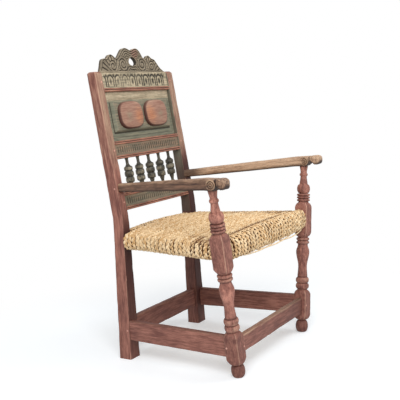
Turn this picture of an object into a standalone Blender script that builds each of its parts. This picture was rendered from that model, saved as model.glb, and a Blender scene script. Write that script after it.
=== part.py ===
"""Painted armchair with turned front legs, a raked panelled back and a rope seat.

Metres, +Z up. The chair faces -Y, and the sitter's left side is at +X. The finished chair stands
on z = 0 with the middle of its box over the origin.
"""

import math

import bmesh
import bpy
import numpy as np
from mathutils import Matrix, Vector

for old_object in list(bpy.data.objects):
    bpy.data.objects.remove(old_object)

# Gap left between pieces that touch
CLEARANCE = 0.0003

# Plan and lean of the frame
FOOT_SPAN = 0.497
LEG_SPLAY = 0.148
LEG_TO_POST = 0.435
BACK_WIDTH = 0.478
BACK_RAKE = 0.136
BEND_HEIGHT = 0.5
BEND_REACH = 0.028

# Rear posts
POST_HEIGHT = 1.021
POST_WIDTH = 0.038
POST_FOOT_WIDTH = 0.055
POST_DEPTH_FOOT = 0.052
POST_DEPTH_SEAT = 0.043
POST_DEPTH_TOP = 0.034
POST_CHAMFER = 0.004
POST_CAP = 0.006

# Front legs, with lengths along the leg's own axis
LEG_SIDES = 12
LEG_BLOCK = 0.05
BLOCK_CHAMFER = 0.005
STRETCHER_BLOCK_BELOW = 0.0155
STRETCHER_BLOCK_ABOVE = 0.016
SEAT_BLOCK_BELOW = 0.0656
SEAT_BLOCK_ABOVE = 0.0652
BALL_RADIUS = 0.0225
BALL_END_RADIUS = 0.0125
BALL_GAP = 0.003
LEG_GROOVE = 0.019
RING_RADIUS = 0.025
RING_GAP = 0.003
RING_SLIT = 0.001
LOW_RING_HEIGHT = 0.0225
RING_PAIR_HEIGHT = 0.031
SHAFT_RADIUS = 0.0165
BALUSTER_LENGTH = 0.058
BALUSTER_SHOULDER = 0.025
BULB_RADIUS = 0.0245
BULB_END_RADIUS = 0.0152
BULB_HEIGHT = 0.035
NECK_LENGTH = 0.072
NECK_TAPER = 0.029
NECK_RADIUS = 0.012
NECK_RING_RADIUS = 0.0155
NECK_RING_HEIGHT = 0.011
NECK_RING_GAP = 0.002
ARM_TENON_RADIUS = 0.01
ARM_TENON_LENGTH = 0.02
SHOULDER_DEPTH_IN_ARM = 0.0018

# Arms
ARM_REAR_HEIGHT = 0.612
ARM_REAR_THICKNESS = 0.025
ARM_REAR_HALF_WIDTH = 0.0165
ARM_FRONT_HALF_WIDTH = 0.025
ARM_FRONT_BOTTOM = 0.626
ARM_FRONT_THICKNESS = 0.036
ARM_OVERHANG = 0.064
ARM_CHAMFER = 0.005
ARM_POST_TENON = 0.02
ARM_POST_TENON_HEIGHT = 0.013

# Stretchers
STRETCHER_HEIGHT = 0.071
FRONT_STRETCHER_HEIGHT = 0.063
STRETCHER_THICKNESS = 0.022
SIDE_STRETCHER_BOTTOM = 0.07
CROSS_STRETCHER_BOTTOM = 0.073
STRETCHER_CHAMFER = 0.004
STRETCHER_TENON = 0.017

# Tenons of the frame and the pegs through them
TENON_THICKNESS = 0.01
TENON_SHOULDER = 0.008
TENON_ROOT = 0.006
PEG_RADIUS = 0.0035
PEG_LENGTH = 0.03
PEG_PROUD = 0.0008
PEG_SIDES = 8
PEG_TURN = Vector((0.1, 0.2, 1))

# Seat rails and the rope wound on them
SEAT_RAIL_HEIGHT = 0.428
SEAT_RAIL_HALF = 0.0135
SEAT_RAIL_CHAMFER = 0.0078
SEAT_RAIL_TENON = 0.015
SEAT_TENON_HEIGHT = 0.016
FRONT_RAIL_HALF_HEIGHT = 0.021
FRONT_RAIL_HALF_DEPTH = 0.013
FRONT_RAIL_FORWARD = 0.003
ROPE_DIAMETER = 0.0165
ROPE_GAP = 0.0008
SEAT_CROWN = 0.011
WEB_LOOPS = 22
FRONT_LOOPS = 27
REAR_LOOPS = 20

# Back: rails, panel, bosses, spindles and crest
BACK_SETBACK = 0.006
RAIL_THICKNESS = 0.022
POST_OVER_TOP_RAIL = 0.002
TOP_RAIL_HEIGHT = 0.0675
MIDDLE_RAIL_BOTTOM = 0.713
MIDDLE_RAIL_HEIGHT = 0.0635
LOWER_RAIL_UNDER_ARM = 0.0215
LOWER_RAIL_HEIGHT = 0.058
MOULDING_HEIGHT = 0.013
MOULDING_PROUD = 0.004
BACK_TENON = 0.024
PANEL_THICKNESS = 0.009
PANEL_SETBACK = 0.014
PANEL_GROOVE = 0.007
FIELD_MARGIN = 0.029
FIELD_SLOPE = 0.008
FIELD_PROUD = 0.01
BOSS_WIDTH = 0.142
BOSS_HEIGHT = 0.1
BOSS_PROUD = 0.013
BOSS_ROUNDING = 0.62
BOSS_SPACING = 0.156
SPINDLE_COUNT = 5
SPINDLE_SPACING = 0.066
SPINDLE_SIDES = 8
SPINDLE_BEAD_RADIUS = 0.0155
SPINDLE_GROOVE_RADIUS = 0.009
SPINDLE_NECK_RADIUS = 0.0055
SPINDLE_TENON_RADIUS = 0.005
SPINDLE_TENON_LENGTH = 0.01
CREST_THICKNESS = 0.02
CREST_HOLE_WIDTH = 0.045
CREST_HOLE_HEIGHT = 0.032
CREST_HOLE_HEIGHT_OVER_RAIL = 0.042
CREST_HOLE_TAPER = 0.25
CREST_HOLE_SIDES = 16
DOWEL_RADIUS = 0.004
DOWEL_LENGTH = 0.03
DOWEL_SPACING = 0.26

# The crest's scrolled edge, worn unevenly: distance from the middle and height over the top rail
CREST_EDGE = (
    (-0.197, 0.003),
    (-0.187, 0.021),
    (-0.176, 0.044),
    (-0.165, 0.051),
    (-0.153, 0.049),
    (-0.143, 0.054),
    (-0.132, 0.0635),
    (-0.121, 0.066),
    (-0.109, 0.061),
    (-0.098, 0.0535),
    (-0.088, 0.053),
    (-0.077, 0.06),
    (-0.0645, 0.072),
    (-0.049, 0.086),
    (-0.032, 0.0915),
    (-0.014, 0.087),
    (0.0, 0.082),
    (0.014, 0.087),
    (0.03, 0.091),
    (0.046, 0.0875),
    (0.057, 0.076),
    (0.067, 0.06),
    (0.079, 0.052),
    (0.09, 0.054),
    (0.099, 0.062),
    (0.108, 0.0655),
    (0.119, 0.059),
    (0.129, 0.053),
    (0.139, 0.0515),
    (0.149, 0.044),
    (0.16, 0.03),
    (0.175, 0.015),
    (0.197, 0.003),
)

# Places worked out from the sizes above
FRONT_Y = -LEG_TO_POST / 2
REAR_Y = LEG_TO_POST / 2
FLOOR_REACH = FOOT_SPAN + LEG_TO_POST
LEG_TILT = math.atan(LEG_SPLAY)
HALF_BLOCK = LEG_BLOCK / 2
STRETCHER_BLOCK_BOTTOM = SIDE_STRETCHER_BOTTOM - STRETCHER_BLOCK_BELOW
STRETCHER_BLOCK_TOP = CROSS_STRETCHER_BOTTOM + STRETCHER_HEIGHT + STRETCHER_BLOCK_ABOVE
BALL_HEIGHT = STRETCHER_BLOCK_BOTTOM - BALL_GAP
SEAT_BLOCK_BOTTOM = SEAT_RAIL_HEIGHT - SEAT_BLOCK_BELOW
SEAT_BLOCK_TOP = SEAT_RAIL_HEIGHT + SEAT_BLOCK_ABOVE
BALUSTER_TOP = SEAT_BLOCK_BOTTOM - RING_PAIR_HEIGHT
BALUSTER_SWELL = BALUSTER_TOP - BALUSTER_SHOULDER
SHAFT_NARROW = BALUSTER_SWELL - BALUSTER_LENGTH
LEG_LENGTH = ARM_FRONT_BOTTOM / math.cos(LEG_TILT) + SHOULDER_DEPTH_IN_ARM
BULB_TOP = LEG_LENGTH - NECK_LENGTH
TOP_RAIL_TOP = POST_HEIGHT - POST_OVER_TOP_RAIL
TOP_RAIL_BOTTOM = TOP_RAIL_TOP - TOP_RAIL_HEIGHT
MIDDLE_RAIL_TOP = MIDDLE_RAIL_BOTTOM + MIDDLE_RAIL_HEIGHT
LOWER_RAIL_TOP = ARM_REAR_HEIGHT - LOWER_RAIL_UNDER_ARM
LOWER_RAIL_BOTTOM = LOWER_RAIL_TOP - LOWER_RAIL_HEIGHT
ARM_FRONT_TOP = ARM_FRONT_BOTTOM + ARM_FRONT_THICKNESS
POST_INNER_X = BACK_WIDTH / 2 - POST_WIDTH
POST_MIDDLE_X = BACK_WIDTH / 2 - POST_WIDTH / 2
RAKE_ANGLE = math.atan(BACK_RAKE)
ROPE_RADIUS = ROPE_DIAMETER / 2
SIDES = {"right": -1, "left": 1}

root = bpy.data.objects.new("chair", None)
bpy.context.scene.collection.objects.link(root)
back = bpy.data.objects.new("back_plane", None)
bpy.context.scene.collection.objects.link(back)
back.parent = root
back.location = (0, REAR_Y, BEND_HEIGHT)
back.rotation_euler = (-RAKE_ANGLE, 0, 0)


def paint(name, colour, roughness):
    material = bpy.data.materials.new(name)
    material.use_nodes = True
    shader = material.node_tree.nodes["Principled BSDF"]
    shader.inputs["Base Color"].default_value = (*colour, 1)
    shader.inputs["Roughness"].default_value = roughness
    shader.inputs["Metallic"].default_value = 0
    return material


RED_PAINT = paint("red_paint", (0.26, 0.115, 0.09), 0.6)
GREEN_PAINT = paint("green_paint", (0.17, 0.17, 0.12), 0.65)
CARVED_WOOD = paint("carved_wood", (0.19, 0.15, 0.1), 0.7)
BOSS_PAINT = paint("boss_paint", (0.38, 0.2, 0.14), 0.55)
DARK_TURNING = paint("dark_turning", (0.06, 0.05, 0.04), 0.5)
STRAW_ROPE = paint("straw_rope", (0.68, 0.48, 0.26), 0.85)
BARE_WOOD = paint("bare_wood", (0.3, 0.2, 0.12), 0.7)


# Building blocks


def add_object(name, data, material, parent=root):
    piece = bpy.data.objects.new(name, data)
    bpy.context.scene.collection.objects.link(piece)
    piece.parent = parent
    if material:
        data.materials.append(material)
    return piece


def finish_mesh(name, mesh_builder, material, parent=root, smooth=False):
    bmesh.ops.recalc_face_normals(mesh_builder, faces=mesh_builder.faces)
    mesh = bpy.data.meshes.new(name)
    mesh_builder.to_mesh(mesh)
    mesh_builder.free()
    if smooth:
        mesh.shade_smooth()
        mesh.set_sharp_from_angle(angle=math.radians(40))
    return add_object(name, mesh, material, parent)


def loft(name, rings, material, parent=root, smooth=False):
    """A closed solid through rings of equally many points, with a flat face at each end."""
    builder = bmesh.new()
    rows = [[builder.verts.new(point) for point in ring] for ring in rings]
    for low, high in zip(rows, rows[1:]):
        for i in range(len(low)):
            j = (i + 1) % len(low)
            builder.faces.new((low[i], low[j], high[j], high[i]))
    builder.faces.new(rows[0][::-1])
    builder.faces.new(rows[-1])
    return finish_mesh(name, builder, material, parent, smooth)


def hide(helper):
    helper.hide_render = True
    helper.display_type = "WIRE"
    return helper


def combine(piece, tool, operation):
    modifier = piece.modifiers.new(f"{operation.lower()} {tool.name}", "BOOLEAN")
    modifier.operation = operation
    modifier.object = tool


def box_helper(name, matrix, low, high, parent=root):
    """A hidden box between two corners in the frame of a matrix."""
    rings = []
    for z in (low[2], high[2]):
        corners = ((low[0], low[1]), (high[0], low[1]), (high[0], high[1]), (low[0], high[1]))
        rings.append([matrix @ Vector((x, y, z)) for x, y in corners])
    return hide(loft(name, rings, None, parent))


def octagon(half_width, half_height, chamfer):
    """Corners of a chamfered rectangle, anticlockwise from the right side's lower end."""
    inner_width = half_width - chamfer
    inner_height = half_height - chamfer
    return (
        (half_width, -inner_height),
        (half_width, inner_height),
        (inner_width, half_height),
        (-inner_width, half_height),
        (-half_width, inner_height),
        (-half_width, -inner_height),
        (-inner_width, -half_height),
        (inner_width, -half_height),
    )


def circle(radius, count):
    """Points round a circle, half a step on so that they include a square's corner directions."""
    turns = [2 * math.pi * (i + 0.5) / count for i in range(count)]
    return [(radius * math.cos(turn), radius * math.sin(turn)) for turn in turns]


def bead(bottom, top, base, peak, steps=3):
    """Heights and radii of a half-round ring between two heights."""
    middle = (bottom + top) / 2
    half = (top - bottom) / 2
    turns = [math.pi * i / steps - math.pi / 2 for i in range(steps + 1)]
    return [(middle + half * math.sin(t), base + (peak - base) * math.cos(t)) for t in turns]


def ease(bottom, top, start, end, steps=4):
    """Heights and radii of an S-shaped change from one radius to another."""
    shares = [i / steps for i in range(1, steps + 1)]
    waves = [(1 - math.cos(math.pi * share)) / 2 for share in shares]
    return [(bottom + (top - bottom) * s, start + (end - start) * w) for s, w in zip(shares, waves)]


def turned(name, profile, sides, material, parent=root):
    rings = [[(x, y, z) for x, y in circle(radius, sides)] for z, radius in profile]
    return loft(name, rings, material, parent, smooth=True)


def frame_along(origin, direction, up=Vector((0, 0, 1))):
    """A frame whose Y axis follows a direction and whose Z axis is as near to up as it can be."""
    forward = Vector(direction).normalized()
    across = forward.cross(up).normalized()
    matrix = Matrix((across, forward, across.cross(forward))).transposed().to_4x4()
    matrix.translation = origin
    return matrix


def tenon_joint(name, rail, post, frame, thickness, low, high, length):
    """Joins a tenon to a rail and cuts its mortise, along a frame's Y axis from the shoulder."""
    half = thickness / 2
    tenon = box_helper(f"{name}_tenon", frame, (-half, -TENON_ROOT, low), (half, length, high))
    combine(rail, tenon, "UNION")
    room = CLEARANCE
    mortise = box_helper(
        f"{name}_mortise",
        frame,
        (-half - room, -TENON_ROOT, low - room),
        (half + room, length + room, high + room),
    )
    combine(post, mortise, "DIFFERENCE")


def peg(name, pieces, head, direction):
    """A round peg driven from a face, with its hole through the pieces that it holds."""
    frame = frame_along(head, direction, PEG_TURN)
    ends = (-PEG_PROUD, PEG_LENGTH)
    hole_ends = (-PEG_LENGTH, PEG_LENGTH + CLEARANCE)

    def cylinder(title, radius, depths, material):
        rings = [
            [frame @ Vector((x, depth, z)) for x, z in circle(radius, PEG_SIDES)] for depth in depths
        ]
        return loft(title, rings, material)

    cylinder(name, PEG_RADIUS, ends, BARE_WOOD)
    hole = hide(cylinder(f"{name}_hole", PEG_RADIUS + CLEARANCE, hole_ends, None))
    for piece in pieces:
        combine(piece, hole, "DIFFERENCE")


# Rules of the frame


def leg_axis_x(z):
    return FOOT_SPAN / 2 + LEG_SPLAY * z


def block_inner_x(z):
    return leg_axis_x(z) - HALF_BLOCK / math.cos(LEG_TILT)


def post_inner_x(_):
    """Inner face of a rear post, alike at every height."""
    return POST_INNER_X


def post_width(z):
    """Width of a rear post, which spreads outwards from the bend down to its foot."""
    share = min(z / BEND_HEIGHT, 1)
    return POST_FOOT_WIDTH + (POST_WIDTH - POST_FOOT_WIDTH) * share


def post_outer_x(z):
    return POST_INNER_X + post_width(z)


def post_front_y(z):
    """Front face of a rear post: upright below the bend and raked above it."""
    past = z - BEND_HEIGHT
    if past <= -BEND_REACH:
        return REAR_Y
    if past >= BEND_REACH:
        return REAR_Y + BACK_RAKE * past
    return REAR_Y + BACK_RAKE * (past + BEND_REACH) ** 2 / (4 * BEND_REACH)


def post_depth(z):
    if z < BEND_HEIGHT:
        return POST_DEPTH_FOOT + (POST_DEPTH_SEAT - POST_DEPTH_FOOT) * z / BEND_HEIGHT
    share = (z - BEND_HEIGHT) / (POST_HEIGHT - BEND_HEIGHT)
    return POST_DEPTH_SEAT + (POST_DEPTH_TOP - POST_DEPTH_SEAT) * share


def up_back(z):
    """Distance up the raked back from the bend, for a height over the floor."""
    return (z - BEND_HEIGHT) / math.cos(RAKE_ANGLE)


def side_rail_x(y):
    """Middle of a side seat rail, from the rear post to the splayed front leg."""
    front_x = leg_axis_x(SEAT_RAIL_HEIGHT)
    return POST_MIDDLE_X + (front_x - POST_MIDDLE_X) * (REAR_Y - y) / LEG_TO_POST


# Posts and legs


def make_rear_post(side, sign):
    bend = np.linspace(BEND_HEIGHT - BEND_REACH, BEND_HEIGHT + BEND_REACH, 5)
    heights = [0, *bend, POST_HEIGHT - POST_CAP]
    rings = []
    for z in heights:
        half_depth = post_depth(z) / 2
        middle_y = post_front_y(z) + half_depth
        half_width = post_width(z) / 2
        middle_x = sign * (POST_INNER_X + half_width)
        outline = octagon(half_width, half_depth, POST_CHAMFER)
        rings.append([(middle_x + x, middle_y + y, z) for x, y in outline])
    half_depth = POST_DEPTH_TOP / 2
    middle_y = post_front_y(POST_HEIGHT) + half_depth
    cap = octagon(POST_WIDTH / 2 - POST_CAP, half_depth - POST_CAP, POST_CHAMFER)
    rings.append([(sign * POST_MIDDLE_X + x, middle_y + y, POST_HEIGHT) for x, y in cap])
    return loft(f"rear_post_{side}", rings, RED_PAINT)


def leg_profile():
    """Heights, half widths and shapes (square or round) up a front leg."""

    def rounds(pairs):
        return [(z, radius, False) for z, radius in pairs]

    def block(bottom, top):
        low = bottom + BLOCK_CHAMFER
        high = top - BLOCK_CHAMFER
        return [
            (bottom, LEG_GROOVE, False),
            (low, HALF_BLOCK, True),
            (high, HALF_BLOCK, True),
            (top, LEG_GROOVE, False),
        ]

    def ring_pair(bottom, top):
        middle = (bottom + top) / 2
        lower = bead(bottom, middle, LEG_GROOVE, RING_RADIUS)
        upper = bead(middle + RING_SLIT, top, LEG_GROOVE, RING_RADIUS)
        return rounds(lower + upper)

    low_pair_bottom = STRETCHER_BLOCK_TOP + RING_GAP
    low_pair_top = low_pair_bottom + 2 * LOW_RING_HEIGHT
    bulb_bottom = BULB_TOP - BULB_HEIGHT
    neck_bottom = BULB_TOP + NECK_TAPER
    neck_ring_bottom = neck_bottom + NECK_RING_GAP
    neck_ring_top = neck_ring_bottom + NECK_RING_HEIGHT
    flare_bottom = neck_ring_top + NECK_RING_GAP
    profile = rounds(bead(0, BALL_HEIGHT, BALL_END_RADIUS, BALL_RADIUS, 8))
    profile += block(STRETCHER_BLOCK_BOTTOM, STRETCHER_BLOCK_TOP)
    profile += ring_pair(low_pair_bottom, low_pair_top)
    profile += rounds(ease(low_pair_top, SHAFT_NARROW, LEG_GROOVE, SHAFT_RADIUS, 2))
    profile += rounds(ease(SHAFT_NARROW, BALUSTER_SWELL, SHAFT_RADIUS, RING_RADIUS, 6))
    profile += rounds(ease(BALUSTER_SWELL, BALUSTER_TOP, RING_RADIUS, LEG_GROOVE, 4))
    profile += ring_pair(BALUSTER_TOP + RING_GAP, SEAT_BLOCK_BOTTOM - RING_GAP)
    profile += block(SEAT_BLOCK_BOTTOM, SEAT_BLOCK_TOP)
    profile += ring_pair(SEAT_BLOCK_TOP + RING_GAP, bulb_bottom - RING_SLIT)
    profile += rounds(bead(bulb_bottom, BULB_TOP, BULB_END_RADIUS, BULB_RADIUS, 6))
    profile += rounds(ease(BULB_TOP, neck_bottom, BULB_END_RADIUS, NECK_RADIUS, 2))
    profile += rounds(bead(neck_ring_bottom, neck_ring_top, NECK_RADIUS, NECK_RING_RADIUS))
    profile += rounds(ease(flare_bottom, LEG_LENGTH, NECK_RADIUS, NECK_RING_RADIUS, 4))
    profile += [(LEG_LENGTH, ARM_TENON_RADIUS, False)]
    profile += [(LEG_LENGTH + ARM_TENON_LENGTH, ARM_TENON_RADIUS, False)]
    return profile


def leg_matrix(sign):
    tilt = Matrix.Rotation(sign * LEG_TILT, 4, "Y")
    return Matrix.Translation((sign * FOOT_SPAN / 2, FRONT_Y, 0)) @ tilt


def make_front_leg(side, sign):
    rings = []
    for number, (z, half, square) in enumerate(leg_profile()):
        # The foot's end starts under the floor and is cut level with it
        height = z - BALL_RADIUS * math.sin(LEG_TILT) if number == 0 else z
        ring = []
        for x, y in circle(1, LEG_SIDES):
            reach = half / max(abs(x), abs(y)) if square else half
            ring.append((reach * x, reach * y, height))
        rings.append(ring)
    leg = loft(f"front_leg_{side}", rings, RED_PAINT, smooth=True)
    leg.matrix_local = leg_matrix(sign)
    combine(leg, floor, "DIFFERENCE")
    return leg


# Arms


def arm_middle_x(y):
    """Middle of an arm in plan, on the line from the rear post through the front leg."""
    front_x = leg_axis_x(ARM_FRONT_BOTTOM)
    return POST_MIDDLE_X + (front_x - POST_MIDDLE_X) * (REAR_Y - y) / LEG_TO_POST


def make_armrest(side, sign, post):
    rear_bottom = ARM_REAR_HEIGHT - ARM_REAR_THICKNESS / 2
    rear_top = ARM_REAR_HEIGHT + ARM_REAR_THICKNESS / 2
    rise = ARM_FRONT_BOTTOM - rear_bottom
    thickness = ARM_FRONT_THICKNESS
    widening = ARM_FRONT_HALF_WIDTH - ARM_REAR_HALF_WIDTH
    tip_y = FRONT_Y - ARM_OVERHANG
    # Distance back from the tip, half width, underside and top of each section
    sections = [
        (0.0, 0.6, 0.42, 0.76),
        (0.004, 0.85, 0.26, 0.94),
        (0.011, 0.96, 0.18, 1.01),
        (0.02, 1.0, 0.22, 1.04),
        (0.028, 1.0, 0.38, 1.04),
        (0.036, 1.0, 0.46, 1.03),
        (0.046, 1.0, 0.0, 1.01),
        (0.09, 1.0, 0.0, 1.0),
    ]
    rings = []
    for distance, width, low, high in sections:
        half_width = ARM_FRONT_HALF_WIDTH * width
        bottom = ARM_FRONT_BOTTOM + thickness * low
        top = ARM_FRONT_BOTTOM + thickness * high
        rings.append((tip_y + distance, half_width, bottom, top))
    start_y = rings[-1][0]
    for share in (0.25, 0.5, 0.75, 1.0):
        rings.append(
            (
                start_y + (REAR_Y - start_y) * share,
                ARM_FRONT_HALF_WIDTH - widening * share,
                ARM_FRONT_BOTTOM - rise * share,
                ARM_FRONT_TOP + (rear_top - ARM_FRONT_TOP) * share,
            )
        )
    points = []
    for number, (y, half_width, bottom, top) in enumerate(rings):
        half_height = (top - bottom) / 2
        chamfer = min(ARM_CHAMFER, half_height / 2)
        ends_at_post = number == len(rings) - 1
        ring = []
        for across, height in octagon(half_width, half_height, chamfer):
            z = (bottom + top) / 2 + height
            point_y = post_front_y(z) - CLEARANCE if ends_at_post else y
            ring.append((sign * arm_middle_x(point_y) + across, point_y, z))
        points.append(ring)
    arm = loft(f"armrest_{side}", points, RED_PAINT, smooth=True)

    shoulder_y = post_front_y(ARM_REAR_HEIGHT)
    shoulder = Vector((sign * arm_middle_x(shoulder_y), shoulder_y, ARM_REAR_HEIGHT))
    run = Vector((sign * (arm_middle_x(REAR_Y) - arm_middle_x(FRONT_Y)), LEG_TO_POST, 0))
    frame = frame_along(shoulder, run)
    half_tenon = ARM_POST_TENON_HEIGHT / 2
    joint = f"armrest_{side}"
    tenon_joint(joint, arm, post, frame, TENON_THICKNESS, -half_tenon, half_tenon, ARM_POST_TENON)
    head = Vector((sign * BACK_WIDTH / 2, shoulder_y + ARM_POST_TENON / 2, ARM_REAR_HEIGHT))
    peg(f"arm_peg_{side}", (post, arm), head, (-sign, 0, 0))

    # Stepped bore that the leg's shoulder and tenon seat in
    room = CLEARANCE
    bore_profile = [
        (LEG_LENGTH - ARM_TENON_LENGTH, NECK_RING_RADIUS + room),
        (LEG_LENGTH + room, NECK_RING_RADIUS + room),
        (LEG_LENGTH + room, ARM_TENON_RADIUS + room),
        (LEG_LENGTH + ARM_TENON_LENGTH + room, ARM_TENON_RADIUS + room),
    ]
    bore = hide(turned(f"{joint}_bore", bore_profile, LEG_SIDES, None))
    bore.matrix_local = leg_matrix(sign)
    combine(arm, bore, "DIFFERENCE")
    return arm


# Stretchers


def make_side_stretcher(side, sign, post, leg):
    top = SIDE_STRETCHER_BOTTOM + STRETCHER_HEIGHT
    middle_z = (SIDE_STRETCHER_BOTTOM + top) / 2
    rear_x = post_outer_x(middle_z) - POST_CHAMFER - STRETCHER_THICKNESS / 2
    rear = Vector((sign * rear_x, REAR_Y, middle_z))
    front = Vector((sign * leg_axis_x(middle_z), FRONT_Y + HALF_BLOCK, middle_z))
    run = rear - front
    outline = octagon(STRETCHER_THICKNESS / 2, STRETCHER_HEIGHT / 2, STRETCHER_CHAMFER)
    rings = []
    for end, offset in ((front, CLEARANCE), (rear, -CLEARANCE)):
        rings.append([(end.x + x, end.y + offset, middle_z + z) for x, z in outline])
    rail = loft(f"side_stretcher_{side}", rings, RED_PAINT)
    half = STRETCHER_HEIGHT / 2 - TENON_SHOULDER
    for end, piece, direction in ((rear, post, run), (front, leg, -run)):
        label = "rear" if piece is post else "front"
        frame = frame_along(end, direction)
        joint = f"side_stretcher_{side}_{label}"
        tenon_joint(joint, rail, piece, frame, TENON_THICKNESS, -half, half, STRETCHER_TENON)
    rear_head = Vector((sign * post_outer_x(middle_z), REAR_Y + STRETCHER_TENON / 2, middle_z))
    peg(f"stretcher_peg_{side}_rear", (post, rail), rear_head, (-sign, 0, 0))
    outer_x = leg_axis_x(middle_z) + HALF_BLOCK / math.cos(LEG_TILT)
    front_head = Vector((sign * outer_x, FRONT_Y + HALF_BLOCK - STRETCHER_TENON / 2, middle_z))
    peg(f"stretcher_peg_{side}_front", (leg, rail), front_head, (-sign, 0, 0))


def make_cross_rail(name, y, middle_z, outline, end_x, tenon, ends, material):
    """A rail along X between two posts or legs, its ends cut to their inner faces."""
    half_tenon, tenon_length = tenon
    rings = []
    for sign in (-1, 1):
        ring = []
        for across, height in outline:
            z = middle_z + height
            ring.append((sign * (end_x(z) - CLEARANCE), y + across, z))
        rings.append(ring)
    rail = loft(name, rings, material)
    slope = end_x(middle_z + half_tenon) - end_x(middle_z - half_tenon)
    for side, sign in SIDES.items():
        shoulder = Vector((sign * end_x(middle_z), y, middle_z))
        upward = Vector((sign * slope, 0, 2 * half_tenon))
        frame = frame_along(shoulder, upward.cross(Vector((0, -sign, 0))), upward)
        joint = f"{name}_{side}"
        tenon_joint(joint, rail, ends[side], frame, TENON_THICKNESS, -half_tenon, half_tenon, tenon_length)
    return rail


def make_cross_stretchers(posts, legs):
    def make(name, y, height, end_x, ends):
        middle_z = CROSS_STRETCHER_BOTTOM + height / 2
        outline = octagon(STRETCHER_THICKNESS / 2, height / 2, STRETCHER_CHAMFER)
        tenon = (height / 2 - TENON_SHOULDER, STRETCHER_TENON)
        return make_cross_rail(name, y, middle_z, outline, end_x, tenon, ends, RED_PAINT), middle_z

    rear_y = REAR_Y + POST_DEPTH_SEAT / 2
    rear, rear_z = make("rear_stretcher", rear_y, STRETCHER_HEIGHT, post_inner_x, posts)
    front, front_z = make("front_stretcher", FRONT_Y, FRONT_STRETCHER_HEIGHT, block_inner_x, legs)
    for side, sign in SIDES.items():
        rear_x = sign * (POST_INNER_X + STRETCHER_TENON / 2)
        rear_head = Vector((rear_x, post_front_y(rear_z) + post_depth(rear_z), rear_z))
        peg(f"rear_stretcher_peg_{side}", (posts[side], rear), rear_head, (0, -1, 0))
        front_x = sign * (block_inner_x(front_z) + STRETCHER_TENON / 2)
        front_head = Vector((front_x, FRONT_Y - HALF_BLOCK, front_z))
        peg(f"front_stretcher_peg_{side}", (legs[side], front), front_head, (0, 1, 0))


# Seat


def make_seat_rails(posts, legs):
    half_tenon = SEAT_TENON_HEIGHT / 2
    tenon = (half_tenon, SEAT_RAIL_TENON)
    outline = octagon(SEAT_RAIL_HALF, SEAT_RAIL_HALF, SEAT_RAIL_CHAMFER)
    for side, sign in SIDES.items():
        rear = Vector((sign * side_rail_x(REAR_Y), REAR_Y, SEAT_RAIL_HEIGHT))
        front_y = FRONT_Y + HALF_BLOCK
        front = Vector((sign * side_rail_x(front_y), front_y, SEAT_RAIL_HEIGHT))
        rings = []
        for end, offset in ((front, CLEARANCE), (rear, -CLEARANCE)):
            rings.append([(end.x + x, end.y + offset, end.z + z) for x, z in outline])
        rail = loft(f"seat_rail_{side}", rings, BARE_WOOD)
        run = rear - front
        for end, piece, direction in ((rear, posts[side], run), (front, legs[side], -run)):
            label = "rear" if piece is posts[side] else "front"
            frame = frame_along(end, direction)
            joint = f"seat_rail_{side}_{label}"
            tenon_joint(
                joint, rail, piece, frame, TENON_THICKNESS, -half_tenon, half_tenon, SEAT_RAIL_TENON
            )

    rear_y = REAR_Y + POST_DEPTH_SEAT / 2
    make_cross_rail(
        "seat_rail_rear", rear_y, SEAT_RAIL_HEIGHT, outline, post_inner_x, tenon, posts, BARE_WOOD
    )
    front_outline = octagon(FRONT_RAIL_HALF_DEPTH, FRONT_RAIL_HALF_HEIGHT, SEAT_RAIL_CHAMFER)
    front_y = FRONT_Y - FRONT_RAIL_FORWARD
    front_tenon = (FRONT_RAIL_HALF_HEIGHT - TENON_SHOULDER, SEAT_RAIL_TENON)
    make_cross_rail(
        "seat_rail_front",
        front_y,
        SEAT_RAIL_HEIGHT,
        front_outline,
        block_inner_x,
        front_tenon,
        legs,
        BARE_WOOD,
    )


def rope_path(half_width, half_height):
    """The octagon that the middle of a rope follows round a rail of this half size."""
    away = ROPE_RADIUS + CLEARANCE
    chamfer = SEAT_RAIL_CHAMFER + away * (2 - math.sqrt(2))
    return octagon(half_width + away, half_height + away, chamfer)


def make_rope(name, points):
    curve = bpy.data.curves.new(name, "CURVE")
    curve.dimensions = "3D"
    curve.bevel_depth = ROPE_RADIUS
    curve.bevel_resolution = 1
    curve.use_fill_caps = True
    spline = curve.splines.new("POLY")
    spline.points.add(len(points) - 1)
    for point, place in zip(spline.points, points):
        point.co = (*place, 1)
    return add_object(name, curve, STRAW_ROPE)


def print_least_gap(name, points, loop_points):
    """Prints the rope's least gap to itself, from points read along its middle."""
    places = np.array(points)
    shares = np.linspace(0, 1, 4, endpoint=False)
    starts = places[:-1, None, :]
    steps = (places[1:] - places[:-1])[:, None, :]
    dense = (starts + steps * shares[None, :, None]).reshape(-1, 3)
    apart = loop_points * len(shares) // 2
    least = np.inf
    for i in range(len(dense) - apart):
        gaps = np.linalg.norm(dense[i + apart :] - dense[i], axis=1)
        least = min(least, gaps.min())
    print(f"{name}: least gap to itself {(least - ROPE_DIAMETER) * 1000:.2f} mm")


def make_rail_winding(name, y, half_depth, half_height, end_x, loops):
    """One unbroken rope wound on a rail along X, closing up to the faces at both ends."""
    section = rope_path(half_depth, half_height)
    # The rope starts and ends in the middle of the underside
    section = section[6:] + section[:6]
    count = loops * len(section)
    points = []
    for i in range(count + 1):
        across, height = section[i % len(section)]
        z = SEAT_RAIL_HEIGHT + height
        share = 2 * i / count - 1
        room = end_x(z) - ROPE_RADIUS - ROPE_GAP
        points.append((share * room, y + across, z))
    print_least_gap(name, points, len(section))
    make_rope(name, points)


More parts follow.
